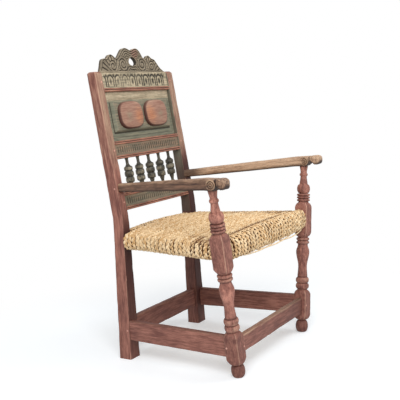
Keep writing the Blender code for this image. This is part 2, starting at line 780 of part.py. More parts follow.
def make_seat_web():
    """One unbroken rope wound from side to side over both side rails, crowned on top."""
    arc = rope_path(SEAT_RAIL_HALF, SEAT_RAIL_HALF)
    outer = [arc[7], arc[0], arc[1], arc[2]]
    top_shares = (0.5, 0.0, -0.5)
    front_edge = FRONT_Y - FRONT_RAIL_FORWARD + FRONT_RAIL_HALF_DEPTH + ROPE_DIAMETER + CLEARANCE
    rear_edge = REAR_Y + POST_DEPTH_SEAT / 2 - SEAT_RAIL_HALF - ROPE_DIAMETER - CLEARANCE
    first_y = front_edge + ROPE_RADIUS + ROPE_GAP
    last_y = rear_edge - ROPE_RADIUS - ROPE_GAP
    top_z = SEAT_RAIL_HEIGHT + arc[2][1]
    bottom_z = SEAT_RAIL_HEIGHT + arc[7][1]
    steps = [("under", 0.0)]
    steps += [("left", place) for place in outer]
    steps += [("over", share) for share in top_shares]
    steps += [("right", place) for place in outer[::-1]]
    points = []
    count = WEB_LOOPS * len(steps)
    for i in range(count + 1):
        kind, value = steps[i % len(steps)]
        y = first_y + (last_y - first_y) * i / count
        reach = side_rail_x(y)
        if kind == "under":
            points.append((0, y, bottom_z))
        elif kind == "over":
            points.append((value * reach, y, top_z + SEAT_CROWN * (1 - value**2)))
        else:
            sign = SIDES[kind]
            points.append((sign * (reach + value[0]), y, SEAT_RAIL_HEIGHT + value[1]))
    print_least_gap("seat_web", points, len(steps))
    make_rope("seat_web", points)


def make_windings():
    front_y = FRONT_Y - FRONT_RAIL_FORWARD
    make_rail_winding(
        "front_winding",
        front_y,
        FRONT_RAIL_HALF_DEPTH,
        FRONT_RAIL_HALF_HEIGHT,
        block_inner_x,
        FRONT_LOOPS,
    )
    rear_y = REAR_Y + POST_DEPTH_SEAT / 2
    make_rail_winding(
        "rear_winding", rear_y, SEAT_RAIL_HALF, SEAT_RAIL_HALF, post_inner_x, REAR_LOOPS
    )


# Back, in the raked plane: x across, y from the posts' front faces backwards, z up the back


def make_back_rail(name, bottom_height, top_height, moulded_ends, posts):
    bottom = up_back(bottom_height)
    top = up_back(top_height)
    front = BACK_SETBACK
    proud = front - MOULDING_PROUD
    slope = MOULDING_PROUD
    edge = [(front + RAIL_THICKNESS, top), (front + RAIL_THICKNESS, bottom)]
    if "bottom" in moulded_ends:
        edge += [
            (proud, bottom),
            (proud, bottom + MOULDING_HEIGHT - slope),
            (front, bottom + MOULDING_HEIGHT),
        ]
    else:
        edge += [(front, bottom)]
    if "top" in moulded_ends:
        edge += [
            (front, top - MOULDING_HEIGHT),
            (proud, top - MOULDING_HEIGHT + slope),
            (proud, top),
        ]
    else:
        edge += [(front, top)]
    reach = POST_INNER_X - CLEARANCE
    rings = [[(x, y, z) for y, z in edge] for x in (-reach, reach)]
    rail = loft(name, rings, GREEN_PAINT, back)

    middle = (bottom + top) / 2
    half = (top - bottom) / 2 - TENON_SHOULDER
    tenon_y = front + RAIL_THICKNESS / 2
    for side, sign in SIDES.items():
        in_back = frame_along(Vector((sign * POST_INNER_X, tenon_y, middle)), (sign, 0, 0))
        frame = back_matrix @ in_back
        joint = f"{name}_{side}"
        tenon_joint(joint, rail, posts[side], frame, TENON_THICKNESS, -half, half, BACK_TENON)
        head = back_matrix @ Vector((sign * (POST_INNER_X + BACK_TENON / 2), 0, middle))
        direction = back_matrix.to_3x3() @ Vector((0, 1, 0))
        peg(f"{name}_peg_{side}", (posts[side], rail), head, direction)
    return rail


def make_panel(top_rail, middle_rail, posts):
    """The panel with its raised field, held in grooves of the rails and the posts."""
    half_opening = POST_INNER_X
    bottom = up_back(MIDDLE_RAIL_TOP)
    top = up_back(TOP_RAIL_BOTTOM)
    middle = (bottom + top) / 2
    half_height = (top - bottom) / 2
    front = PANEL_SETBACK
    rear = front + PANEL_THICKNESS

    def rectangle(half_x, half_z, y):
        corners = ((-half_x, -half_z), (half_x, -half_z), (half_x, half_z), (-half_x, half_z))
        return [(x, y, middle + z) for x, z in corners]

    edge_x = half_opening + PANEL_GROOVE - CLEARANCE
    edge_z = half_height + PANEL_GROOVE - CLEARANCE
    field_x = half_opening - FIELD_MARGIN
    field_z = half_height - FIELD_MARGIN
    rings = [
        rectangle(edge_x, edge_z, rear),
        rectangle(edge_x, edge_z, front),
        rectangle(field_x, field_z, front),
        rectangle(field_x - FIELD_SLOPE, field_z - FIELD_SLOPE, front - FIELD_PROUD),
    ]
    loft("back_panel", rings, GREEN_PAINT, back)
    room = CLEARANCE
    groove = box_helper(
        "panel_groove",
        Matrix.Identity(4),
        (-edge_x - room, front - room, middle - edge_z - room),
        (edge_x + room, rear + room, middle + edge_z + room),
        back,
    )
    for piece in (top_rail, middle_rail, *posts.values()):
        combine(piece, groove, "DIFFERENCE")

    face_y = front - FIELD_PROUD - CLEARANCE
    for side, sign in SIDES.items():
        make_boss(f"boss_{side}", sign * BOSS_SPACING / 2, middle, face_y)


def make_boss(name, x, z, face_y, count=24):
    """A low dome on a rounded rectangle, with a flat rim."""
    rings = []
    for share, lift in ((1.0, 0.0), (1.0, 0.3), (0.8, 0.72), (0.5, 0.95), (0.2, 1.0)):
        ring = []
        for i in range(count):
            turn = 2 * math.pi * i / count
            across = math.copysign(abs(math.cos(turn)) ** BOSS_ROUNDING, math.cos(turn))
            height = math.copysign(abs(math.sin(turn)) ** BOSS_ROUNDING, math.sin(turn))
            ring.append(
                (
                    x + share * across * BOSS_WIDTH / 2,
                    face_y - lift * BOSS_PROUD,
                    z + share * height * BOSS_HEIGHT / 2,
                )
            )
        rings.append(ring)
    loft(name, rings, BOSS_PAINT, back, smooth=True)


def make_spindles(middle_rail, lower_rail):
    bottom = up_back(LOWER_RAIL_TOP) + CLEARANCE
    top = up_back(MIDDLE_RAIL_BOTTOM) - CLEARANCE
    length = top - bottom
    neck = SPINDLE_NECK_RADIUS
    groove = SPINDLE_GROOVE_RADIUS
    bulb = SPINDLE_BEAD_RADIUS
    small_bulb = (groove + 2 * bulb) / 3

    def at(share):
        return bottom + length * share

    profile = [(bottom - SPINDLE_TENON_LENGTH, SPINDLE_TENON_RADIUS), (bottom, SPINDLE_TENON_RADIUS)]
    profile += [(bottom, groove), (at(0.05), groove)]
    profile += ease(at(0.05), at(0.12), groove, neck, 2)
    profile += ease(at(0.14), at(0.32), neck, groove, 3)
    profile += bead(at(0.33), at(0.47), groove, small_bulb)
    profile += bead(at(0.48), at(0.64), groove, bulb, 4)
    profile += bead(at(0.65), at(0.78), groove, small_bulb)
    profile += ease(at(0.79), at(0.85), groove, neck, 2)
    profile += ease(at(0.93), at(0.98), neck, groove, 2)
    profile += [(top, groove), (top, SPINDLE_TENON_RADIUS)]
    profile += [(top + SPINDLE_TENON_LENGTH, SPINDLE_TENON_RADIUS)]
    hole_radius = SPINDLE_TENON_RADIUS + CLEARANCE
    hole_end = SPINDLE_TENON_LENGTH + CLEARANCE
    hole_profile = [(bottom - hole_end, hole_radius), (top + hole_end, hole_radius)]
    rail_middle_y = BACK_SETBACK + RAIL_THICKNESS / 2
    for number in range(SPINDLE_COUNT):
        x = (number - (SPINDLE_COUNT - 1) / 2) * SPINDLE_SPACING
        name = f"spindle_{number + 1}"
        spindle = turned(name, profile, SPINDLE_SIDES, DARK_TURNING, back)
        hole = hide(turned(f"{name}_hole", hole_profile, SPINDLE_SIDES, None, back))
        for piece in (spindle, hole):
            piece.location = (x, rail_middle_y, 0)
        combine(middle_rail, hole, "DIFFERENCE")
        combine(lower_rail, hole, "DIFFERENCE")


def smooth_through(points, steps):
    """Points of a smooth curve through the given ones."""
    ends = [points[0], *points, points[-1]]
    curve = []
    for before, start, end, after in zip(ends, ends[1:], ends[2:], ends[3:]):
        for i in range(steps):
            t = i / steps
            weights = (
                (-t + 2 * t**2 - t**3) / 2,
                (2 - 5 * t**2 + 3 * t**3) / 2,
                (t + 4 * t**2 - 3 * t**3) / 2,
                (-(t**2) + t**3) / 2,
            )
            near = (before, start, end, after)
            curve.append(tuple(sum(w * p[axis] for w, p in zip(weights, near)) for axis in (0, 1)))
    return [*curve, points[-1]]


def make_crest(top_rail):
    """The pierced board with a scrolled upper edge, doweled on the top rail."""
    base = up_back(TOP_RAIL_TOP) + CLEARANCE
    outline = [(CREST_EDGE[0][0], 0), *smooth_through(CREST_EDGE, 2), (CREST_EDGE[-1][0], 0)]
    hole_middle = CREST_HOLE_HEIGHT_OVER_RAIL
    hole = []
    for x, z in circle(1, CREST_HOLE_SIDES):
        # The hole is wider below than above
        width = CREST_HOLE_WIDTH / 2 * (1 - CREST_HOLE_TAPER * z)
        hole.append((x * width, hole_middle + z * CREST_HOLE_HEIGHT / 2))
    front = BACK_SETBACK
    builder = bmesh.new()
    edges = []
    for loop in (outline, hole):
        corners = [builder.verts.new((x, front, base + z)) for x, z in loop]
        for i, corner in enumerate(corners):
            edges.append(builder.edges.new((corner, corners[(i + 1) % len(corners)])))
    filled = bmesh.ops.triangle_fill(builder, use_beauty=True, edges=edges)
    faces = [face for face in filled["geom"] if isinstance(face, bmesh.types.BMFace)]
    raised = bmesh.ops.extrude_face_region(builder, geom=faces, use_keep_orig=True)
    moved = [vert for vert in raised["geom"] if isinstance(vert, bmesh.types.BMVert)]
    bmesh.ops.translate(builder, vec=(0, CREST_THICKNESS, 0), verts=moved)
    crest = finish_mesh("crest", builder, CARVED_WOOD, back)

    half = DOWEL_LENGTH / 2
    dowel_y = front + CREST_THICKNESS / 2
    room = CLEARANCE
    for side, sign in SIDES.items():
        name = f"crest_dowel_{side}"
        ends = [(base - half, DOWEL_RADIUS), (base + half, DOWEL_RADIUS)]
        hole_ends = [(z + math.copysign(room, z - base), radius + room) for z, radius in ends]
        dowel = turned(name, ends, PEG_SIDES, BARE_WOOD, back)
        bore = hide(turned(f"{name}_bore", hole_ends, PEG_SIDES, None, back))
        for piece in (dowel, bore):
            piece.location = (sign * DOWEL_SPACING / 2, dowel_y, 0)
        combine(crest, bore, "DIFFERENCE")
        combine(top_rail, bore, "DIFFERENCE")


def centre_on_origin():
    """Moves the whole chair so that the middle of its box is over the origin."""
    bpy.context.view_layer.update()
    graph = bpy.context.evaluated_depsgraph_get()
    points = []
    for piece in bpy.context.scene.objects:
        if piece.type in ("MESH", "CURVE") and not piece.hide_render:
            evaluated = piece.evaluated_get(graph)
            mesh = evaluated.to_mesh()
            points += [evaluated.matrix_world @ vertex.co for vertex in mesh.vertices]
            evaluated.to_mesh_clear()
    places = np.array(points)
    middle = (places.min(axis=0) + places.max(axis=0)) / 2
    root.location = (-middle[0], -middle[1], 0)
    bpy.context.view_layer.update()


bpy.context.view_layer.update()
back_matrix = back.matrix_world.copy()
floor_low = (-FLOOR_REACH, -FLOOR_REACH, -BALL_HEIGHT)
floor = box_helper("floor", Matrix.Identity(4), floor_low, (FLOOR_REACH, FLOOR_REACH, 0))
rear_posts = {side: make_rear_post(side, sign) for side, sign in SIDES.items()}
front_legs = {side: make_front_leg(side, sign) for side, sign in SIDES.items()}
for side, sign in SIDES.items():
    make_armrest(side, sign, rear_posts[side])
    make_side_stretcher(side, sign, rear_posts[side], front_legs[side])
make_cross_stretchers(rear_posts, front_legs)
make_seat_rails(rear_posts, front_legs)
make_seat_web()
make_windings()
top_back_rail = make_back_rail("top_rail", TOP_RAIL_BOTTOM, TOP_RAIL_TOP, ("bottom",), rear_posts)
middle_back_rail = make_back_rail(
    "middle_rail", MIDDLE_RAIL_BOTTOM, MIDDLE_RAIL_TOP, ("bottom", "top"), rear_posts
)
lower_back_rail = make_back_rail(
    "lower_rail", LOWER_RAIL_BOTTOM, LOWER_RAIL_TOP, ("bottom",), rear_posts
)
make_panel(top_back_rail, middle_back_rail, rear_posts)
make_spindles(middle_back_rail, lower_back_rail)
make_crest(top_back_rail)
centre_on_origin()
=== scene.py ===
"""Looks of the painted armchair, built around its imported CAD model.

Metres, +Z up, the chair facing -Y. The pieces are made in the CAD model's own frame, and each one
stands where the node that it replaces is.
"""

import math

import bmesh
import bpy
import numpy as np
from mathutils import Matrix, Vector, noise


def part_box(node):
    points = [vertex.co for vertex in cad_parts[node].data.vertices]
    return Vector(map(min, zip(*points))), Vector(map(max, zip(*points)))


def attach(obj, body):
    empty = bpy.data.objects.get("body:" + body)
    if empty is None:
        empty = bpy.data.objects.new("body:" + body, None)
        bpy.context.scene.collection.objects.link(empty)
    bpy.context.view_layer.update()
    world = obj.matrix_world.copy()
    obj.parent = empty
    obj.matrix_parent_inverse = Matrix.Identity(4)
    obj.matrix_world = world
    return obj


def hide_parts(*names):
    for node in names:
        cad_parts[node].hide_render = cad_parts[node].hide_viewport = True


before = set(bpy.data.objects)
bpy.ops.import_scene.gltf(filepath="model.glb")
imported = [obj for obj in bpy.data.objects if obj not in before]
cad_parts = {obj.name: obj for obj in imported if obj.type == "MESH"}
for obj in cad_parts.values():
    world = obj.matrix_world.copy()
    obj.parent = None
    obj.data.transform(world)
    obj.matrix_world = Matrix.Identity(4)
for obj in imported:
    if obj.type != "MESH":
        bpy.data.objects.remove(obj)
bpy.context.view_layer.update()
SIDES = {"right": -1, "left": 1}

# Camera, solved on points of the photograph
CAMERA_PLACE = (-2.26482, -1.40857, 0.90055)
CAMERA_YAW = math.radians(-57.713)
CAMERA_PITCH = math.radians(7.644)
CAMERA_ROLL = math.radians(-3.826)
FOCAL_PIXELS = 743.8
IMAGE_PIXELS = 400
SENSOR_WIDTH = 36

# Frame of the chair
BEND_HEIGHT = 0.5
BEND_REACH = 0.028
BACK_RAKE = 0.136
LEG_SPLAY = 0.148
LEG_FOOT_X = 0.2485
POST_WIDTH = 0.038
POST_DEPTHS = ((0.0, 0.052), (0.5, 0.045), (1.021, 0.038))
POST_ROUNDING = 0.004
POST_CAP = 0.006
STRETCHER_THICKNESS = 0.022
STRETCHER_ROUNDING = 0.0035
END_TOLERANCE = 0.0012
NICK_DEPTH = 0.002
UNEVENNESS = 0.0005

# Front legs, along their own axis
LEG_SIDES = 64
HALF_BLOCK = 0.025
BLOCK_CORNER = 0.0345
BLOCK_CORNER_POWER = 16
SHOULDER_HEIGHT = 0.019
UNTURNED = 1.0
LEG_GROOVE = 0.019
GROOVE_SOFTNESS = 0.003
RING_RADIUS = 0.025
RING_GAP = 0.003
RING_SLIT = 0.001
BALL = (0.0, 0.045, 0.0125, 0.0232)
STRETCHER_BLOCK = (0.0475, 0.16)
LOW_RINGS = (0.163, 0.208)
SHAFT_NARROW = (0.2484, 0.0165)
BALUSTER_SWELL = 0.3064
HIGH_RINGS = (0.3344, 0.3594)
SEAT_BLOCK = (0.3624, 0.4932)
COLLAR_RINGS = (0.4962, 0.5266)
BULB = (0.5276, 0.5626, 0.0152, 0.0245)
NECK = (0.5916, 0.012)
NECK_RING = (0.5936, 0.6046, 0.0155)
LEG_TOP = 0.6346
LEG_NICK_DEPTH = 0.0016
LEG_UNEVENNESS = 0.0003

# Arms
ARM_REAR_HEIGHT = 0.614
ARM_REAR_THICKNESS = 0.029
ARM_REAR_HALF_WIDTH = 0.0165
ARM_IN_POST = 0.004
ARM_FRONT_HALF_WIDTH = 0.025
ARM_FRONT_BOTTOM = 0.626
ARM_FRONT_THICKNESS = 0.036
ARM_OVERHANG = 0.064
ARM_ROUNDING = 0.008
ARM_NICK_DEPTH = 0.0012
ARM_UNEVENNESS = 0.0007
ROLL_LENGTH = 0.03
ROLL_NECK = 0.036
ROLL_NECK_WIDTH = 0.006
ROLL_FLUTES = 11
FLUTE_DEPTH = 0.002
# Distance back from the tip, half width, underside and top, as shares of the arm's front end
ARM_SECTIONS = (
    (0.0, 0.5, 0.42, 0.72),
    (0.0025, 0.8, 0.26, 0.88),
    (0.007, 0.95, 0.15, 0.98),
    (0.014, 1.02, 0.1, 1.04),
    (0.021, 1.03, 0.18, 1.06),
    (0.028, 0.97, 0.36, 1.05),
    (0.034, 0.84, 0.44, 1.03),
    (0.04, 0.84, 0.34, 1.02),
    (0.046, 0.96, 0.04, 1.02),
    (0.052, 1.0, 0.0, 1.01),
    (0.09, 0.97, 0.0, 1.0),
)
ROSETTE_SIDES = 32
ROSETTE_BACK = 0.053
ROSETTE_RADIUS = 0.0165
# Shares of the disc's radius, and how far they stand out of the arm
ROSETTE_PROFILE = (
    *((1.0, -0.002), (1.0, 0.0026), (0.94, 0.0036), (0.84, 0.0036), (0.76, 0.0022), (0.7, 0.001)),
    *((0.62, 0.001), (0.56, 0.0028), (0.46, 0.0036), (0.36, 0.0026), (0.3, 0.001), (0.24, 0.001)),
    *((0.18, 0.003), (0.05, 0.0042)),
)

# Back
BACK_SETBACK = 0.006
BOARD_IN_POST = 0.001
RAIL_SPACING = 0.0011
RAIL_THICKNESS = 0.022
MOULDING_HEIGHT = 0.013
MOULDING_PROUD = 0.004
BAND_MARGIN = 0.014
CREST_THICKNESS = 0.016
CREST_HOLE = (0.045, 0.032, 0.042)
CREST_HOLE_TAPER = 0.25
CREST_GRID = (360, 92)
CARVING_DEPTH = 0.004
CARVED_BAND = 0.0084
LEAVES_FROM = 0.088
LEAF_ROOT = (0.105, -0.016)
LEAF_TURN = 0.22
LEAF_MARGIN = 0.006
VOLUTES = ((0.058, 0.031, 0.029, 2.6), (0.118, 0.024, 0.022, 2.0))
# Beads around the opening and along the foot: whole width, line and half width of the ridge
HOLE_BEAD = (0.0075, 0.0034, 0.0042)
FOOT_BEAD = (0.0065, 0.0033, 0.0035)
CREST_EDGE_WIDTH = 0.003
CREST_EDGE_FALL = 0.0025
CREST_TOLERANCE = 0.001
WALL_EDGE = 0.001
PANEL_SPACING = 0.0015
PANEL_SETBACK = 0.014
PANEL_GROOVE = 0.007
FIELD_MARGIN = 0.029
FIELD_SLOPE = 0.008
FIELD_PROUD = 0.01
QUIRK_DEPTH = 0.0014
BOSS_SIDES = 72
BOSS_SIZE = (0.142, 0.1)
BOSS_PROUD = 0.013
BOSS_ROUNDING = 0.66
BOSS_UNEVENNESS = 0.0008
# Shares of a boss's outline, and heights over the panel as shares of the whole
BOSS_PROFILE = (
    *((1.0, 0.0), (1.0, 0.3), (0.985, 0.48), (0.95, 0.6), (0.9, 0.7), (0.83, 0.79), (0.74, 0.86)),
    *((0.62, 0.92), (0.48, 0.96), (0.32, 0.985), (0.14, 1.0)),
)
SPINDLE_SIDES = 28
SPINDLE_TENON = 0.01
SPINDLE_IN_RAIL = 0.002
SPINDLE_BEAD = 0.0168
SPINDLE_GROOVE = 0.009
SPINDLE_NECK = 0.0055

# Seat
SEAT_RAIL_HEIGHT = 0.428
SEAT_RAIL_HALF = 0.0135
FRONT_RAIL_HALF_HEIGHT = 0.021
FRONT_RAIL_HALF_DEPTH = 0.013
FRONT_RAIL_FORWARD = 0.003
FRONT_DRAWN_IN = 0.008
SEAT_CROWN = 0.011
WINDING_CROWN = SEAT_CROWN * 0.7
SEAT_DENT = 0.0022
REAR_BULGE = 0.008
ROPE_SWAY = 0.0016
ROPE_FROM_RAIL = 0.0108
ROPE_HALF = 0.0085
WEB_WRAPS = 22
FRONT_WRAPS = 30
REAR_WRAPS = 24
STEPS_PER_WRAP = 24
PLAIT_PITCH = 0.041
PLAIT_STEP = 0.0042
PLAIT_SWING = 0.0051
PLAIT_LIFT = 0.0033
STRAND_HALF_WIDTH = 0.0045
STRAND_HALF_THICKNESS = 0.0033
STRAND_SIDES = 8
# Strands that have come away: their two ends across the chair, drop and lean to the front
LOOSE_STRANDS = ((-0.2, 0.03, 0.002, 0.004), (-0.11, 0.16, 0.003, 0.006), (0.06, 0.25, 0.005, 0.004))
LOOSE_RADIUS = 0.0022
LOOSE_IN_ROPE = 0.005
LOOSE_BACK = 0.016

# Stage
FLOOR_REACH = 12
FLOOR_FADE = (0.6, 1.3)

# Places read from the CAD model
post_low, post_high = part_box("rear_post_right")
REAR_Y = post_low.y
POST_INNER_X = -post_high.x
POST_FOOT_WIDTH = post_high.x - post_low.x
POST_MIDDLE_X = POST_INNER_X + POST_WIDTH / 2
POST_TOP = post_high.z
front_low, front_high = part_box("front_stretcher")
FRONT_Y = (front_low.y + front_high.y) / 2
ARM_TIP_Y = FRONT_Y - ARM_OVERHANG
LEG_TO_POST = REAR_Y - FRONT_Y
LEG_TILT = math.atan(LEG_SPLAY)
BACK = Matrix.Translation((0, REAR_Y, BEND_HEIGHT)) @ Matrix.Rotation(-math.atan(BACK_RAKE), 4, "X")
INTO_BACK = BACK.inverted()
UNMOVED = Matrix.Identity(4)


# Materials


def srgb(colour):
    """A linear colour from display values between 0 and 255."""
    shares = [value / 255 for value in colour]
    linear = [s / 12.92 if s <= 0.04045 else ((s + 0.055) / 1.055) ** 2.4 for s in shares]
    return (*linear, 1)


class Look:
    """The node tree of a new material or world, with a short call for each kind of node in use."""

    def __init__(self, owner):
        owner.use_nodes = True
        self.owner = owner
        self.tree = owner.node_tree
        self.shader = self.tree.nodes.get("Principled BSDF") or self.tree.nodes["Background"]

    def set(self, socket, value):
        if isinstance(value, bpy.types.NodeSocket):
            self.tree.links.new(value, socket)
        else:
            socket.default_value = value

    def dress(self, inputs):
        for key, value in inputs.items():
            self.set(self.shader.inputs[key], value)

    def add(self, kind, inputs, output=0, **settings):
        made = self.tree.nodes.new(f"ShaderNode{kind}")
        for key, value in settings.items():
            setattr(made, key, value)
        for key, value in inputs.items():
            self.set(made.inputs[key], value)
        return made.outputs[output]

    def attribute(self, name, output="Fac"):
        return self.add("Attribute", {}, output, attribute_name=name)

    def noise(self, vector, scale, detail=4, roughness=0.6):
        stretched = self.add("VectorMath", {0: vector, 1: scale}, operation="MULTIPLY")
        inputs = {"Vector": stretched, "Scale": 1.0, "Detail": detail, "Roughness": roughness}
        return self.add("TexNoise", inputs, "Fac")

    def math(self, operation, first, second):
        return self.add("Math", {0: first, 1: second}, operation=operation)

    def sum(self, *terms):
        """Sum of values, each with its weight."""
        total = 0.0
        for value, weight in terms:
            total = self.math("ADD", self.math("MULTIPLY", value, weight), total)
        return total

    def span(self, value, low, high, most=1.0):
        """0 below low, most above high and a smooth step between them."""
        inputs = {"Value": value, "From Min": low, "From Max": high, "To Max": most}
        return self.add("MapRange", inputs, interpolation_type="SMOOTHSTEP")

    def mix(self, share, first, second):
        """A mix of two colours, each a socket or display values."""
        first, second = (srgb(c) if isinstance(c, tuple) else c for c in (first, second))
        return self.add("Mix", {0: share, 6: first, 7: second}, 2, data_type="RGBA")

    def bump(self, height, strength, distance):
        return self.add("Bump", {"Height": height, "Strength": strength, "Distance": distance})


def old_paint(name, colours, *patches, wear=0.0, gloss=0.0, stored_grain=True):
    """Old paint on wood: cloudy, rubbed bare on the arrises, and darkened with painted shade and grime
    by the depth value.

    The colours are the paint's light and dark tone, the bare wood and the dark tone of painted shade and
    grime. Each patch is an attribute's name with the light and dark tone of the paint that it stands
    for. The grain follows the mesh's stored places, or a plain node's own coordinates.
    """
    light, dark, bare, shade_and_grime_tone = colours
    look = Look(bpy.data.materials.new(name))
    grain = look.attribute("grain", "Vector") if stored_grain else look.add("TexCoord", {}, "Object")
    streaks = look.noise(grain, (9, 85, 85), 5, 0.7)
    fibres = look.noise(grain, (45, 620, 620), 3)
    clouds = look.noise(grain, (13, 30, 30), 5, 0.65)
    lines = look.noise(grain, (15, 170, 170), 4, 0.7)
    tones = look.sum((lines, 0.45), (streaks, 0.33), (clouds, 0.22))
    shade = look.span(tones, 0.38, 0.62)
    coat = look.mix(shade, dark, light)
    for attribute, patch_light, patch_dark in patches:
        ragged = look.sum((look.attribute(attribute), 1), (tones, 0.9))
        coat = look.mix(look.span(ragged, 0.72, 1.12), coat, look.mix(shade, patch_dark, patch_light))
    coat = look.mix(look.span(fibres, 0.46, 0.7, 0.55), coat, dark)
    rubbed = look.sum((clouds, 0.7), (fibres, 0.35), (look.attribute("wear"), 0.3))
    loss = look.span(rubbed, 0.7 - wear, 0.92 - wear, 0.75)
    # Painted shade and grime: the depth value that each piece sets in its grooves, recesses and shaded
    # faces
    shade_and_grime = look.sum((look.attribute("depth"), 1), (streaks, 0.3))
    colour = look.mix(look.span(shade_and_grime, 0.3, 1.15), look.mix(loss, coat, bare), shade_and_grime_tone)
    matt = look.add("MapRange", {"Value": clouds, "To Min": 0.5 - gloss, "To Max": 0.85 - gloss})
    relief = look.bump(look.sum((fibres, 0.6), (loss, -0.4)), 0.35, 0.0012)
    look.dress({"Base Color": colour, "Roughness": matt, "Specular IOR Level": 0.35, "Normal": relief})
    return look.owner


def straw_look():
    """Dry straw: each strand has its own tone, with fibres along it, and painted shade from the depth
    value.
    """
    look = Look(bpy.data.materials.new("straw"))
    grain = look.attribute("grain", "Vector")
    fibres = look.noise(grain, (30, 900, 900), 3)
    slow = look.noise(grain, (14, 40, 40), 3)
    tone = look.sum((look.attribute("tone"), 1), (slow, 0.6))
    colour = look.mix(look.span(tone, 0.25, 1.15), (204, 162, 110), (246, 219, 177))
    colour = look.mix(look.span(fibres, 0.5, 0.8, 0.6), colour, (163, 110, 62))
    # Painted shade in the slits between strands and on the strands' sides
    colour = look.mix(look.span(look.attribute("depth"), 0.2, 0.95), colour, (88, 47, 19))
    relief = look.bump(fibres, 0.5, 0.0008)
    look.dress({"Base Color": colour, "Roughness": 0.68, "Specular IOR Level": 0.2, "Normal": relief})
    return look.owner


RED = old_paint(
    "red_paint",
    ((170, 116, 100), (104, 62, 54), (186, 146, 124), (58, 25, 20)),
    ("tan", (178, 146, 122), (134, 94, 78)),
    ("green", (122, 118, 100), (84, 84, 72)),
    ("rubbed", (200, 139, 120), (146, 93, 80)),
)
ARM = old_paint(
    "arm_wood",
    ((152, 117, 92), (64, 41, 32), (188, 158, 128), (46, 27, 19)),
    ("tan", (214, 182, 150), (162, 126, 100)),
    ("red", (158, 104, 86), (86, 50, 40)),
    wear=0.03,
    gloss=0.08,
)
GREEN = old_paint(
    "green_paint",
    ((140, 135, 114), (98, 100, 84), (166, 146, 122), (46, 42, 33)),
    ("tan", (204, 186, 156), (156, 140, 115)),
    ("brown", (150, 122, 100), (104, 84, 68)),
    ("red", (188, 128, 106), (126, 76, 62)),
)
CREST = old_paint(
    "crest_wood",
    ((154, 140, 118), (110, 99, 82), (182, 164, 136), (36, 29, 22)),
    ("red", (154, 120, 101), (116, 85, 71)),
)
BOSS = old_paint(
    "boss_paint",
    ((172, 134, 114), (136, 96, 80), (206, 176, 150), (70, 38, 29)),
    ("green", (152, 138, 116), (118, 108, 90)),
    ("red", (192, 134, 98), (160, 100, 72)),
    wear=0.04,
)
DARK = old_paint(
    "spindle_paint", ((90, 84, 70), (34, 31, 26), (184, 171, 145), (12, 11, 9)), wear=0.07, gloss=0.14
)
BARE = old_paint(
    "bare_wood", ((150, 120, 90), (112, 88, 66), (170, 140, 108), (60, 46, 36)), stored_grain=False
)
PEG = old_paint(
    "peg_paint", ((222, 172, 154), (184, 132, 116), (224, 188, 166), (58, 25, 20)), stored_grain=False
)
STRAW = straw_look()


# Building blocks


def clamp(values):
    return np.clip(values, 0, 1)


def circle(count, radius=1.0):
    """Points spread evenly on a circle."""
    turns = [2 * math.pi * i / count for i in range(count)]
    return [(radius * math.cos(turn), radius * math.sin(turn)) for turn in turns]


def squared_turn(turn, power=0.7):
    """A place on a rounded square of half size 1, which is squarer with a smaller power."""
    cosine, sine = math.cos(turn), math.sin(turn)
    return math.copysign(abs(cosine) ** power, cosine), math.copysign(abs(sine) ** power, sine)


def rough(place, scale, seed):
    """Smooth noise between about -1 and 1 at a place."""
    x, y, z = place
    return noise.noise(Vector((x * scale + seed, y * scale, z * scale)))


def pressed(place, middle, depth):
    """A place moved in towards a middle."""
    return place + (middle - place).normalized() * depth


@np.vectorize
def wave(x, y, z):
    """Smooth noise too, for numbers or arrays of them."""
    return noise.noise(Vector((x, y, z)))


def link(name, data):
    """A new object of the scene."""
    made = bpy.data.objects.new(name, data)
    bpy.context.scene.collection.objects.link(made)
    return made


def add_piece(mesh, material, nodes, sharp=45):
    """Puts a mesh in the scene in place of CAD nodes, smooth except at its sharp edges."""
    mesh.materials.append(material)
    mesh.shade_smooth()
    mesh.set_sharp_from_angle(angle=math.radians(sharp))
    piece = link(mesh.name, mesh)
    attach(piece, "root")
    if nodes:
        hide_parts(*nodes)


def places_of(mesh, into=UNMOVED):
    """Places of a mesh's vertices, moved into another frame."""
    return np.array([into @ vertex.co for vertex in mesh.vertices])


def set_values(mesh, values):
    """Stores one number or one vector for each vertex, under each name."""
    for key, value in values.items():
        value = np.asarray(value, dtype=np.float32)
        kind, field = ("FLOAT_VECTOR", "vector") if value.ndim == 2 else ("FLOAT", "value")
        attribute = mesh.attributes.new(key, kind, "POINT")
        attribute.data.foreach_set(field, value.ravel())


def new_mesh(name, vertices, faces, values):
    """A mesh with its faces turned outwards."""
    mesh = bpy.data.meshes.new(name)
    mesh.from_pydata(vertices, [], faces)
    set_values(mesh, values)
    builder = bmesh.new()
    builder.from_mesh(mesh)
    bmesh.ops.recalc_face_normals(builder, faces=builder.faces)
    builder.to_mesh(mesh)
    builder.free()
    return mesh


def tube_faces(count, size, start=0):
    """Quads between closed rings of equally many points, with a face over each end."""
    rows = np.arange(count - 1)[:, None] * size + start
    columns = np.arange(size)[None, :]
    following = (columns + 1) % size
    corners = (rows + columns, rows + following, rows + size + following, rows + size + columns)
    faces = np.stack(corners, axis=-1).reshape(-1, 4).tolist()
    end = start + (count - 1) * size
    return [*faces, list(range(start, start + size))[::-1], list(range(end, end + size))]


class Skin:
    """A closed tube through rings of points, with values stored for each point."""

    def __init__(self):
        self.rings = []
        self.values = {}

    def ring(self, points):
        """Starts a ring, and passes on what its points are made from."""
        self.rings.append([])
        return points

    def add(self, place, **values):
        self.rings[-1].append(place)
        for key, value in values.items():
            self.values.setdefault(key, []).append(value)

    def mesh(self, name):
        rings = np.array(self.rings, dtype=float)
        faces = tube_faces(*rings.shape[:2])
        return new_mesh(name, rings.reshape(-1, 3).tolist(), faces, self.values)


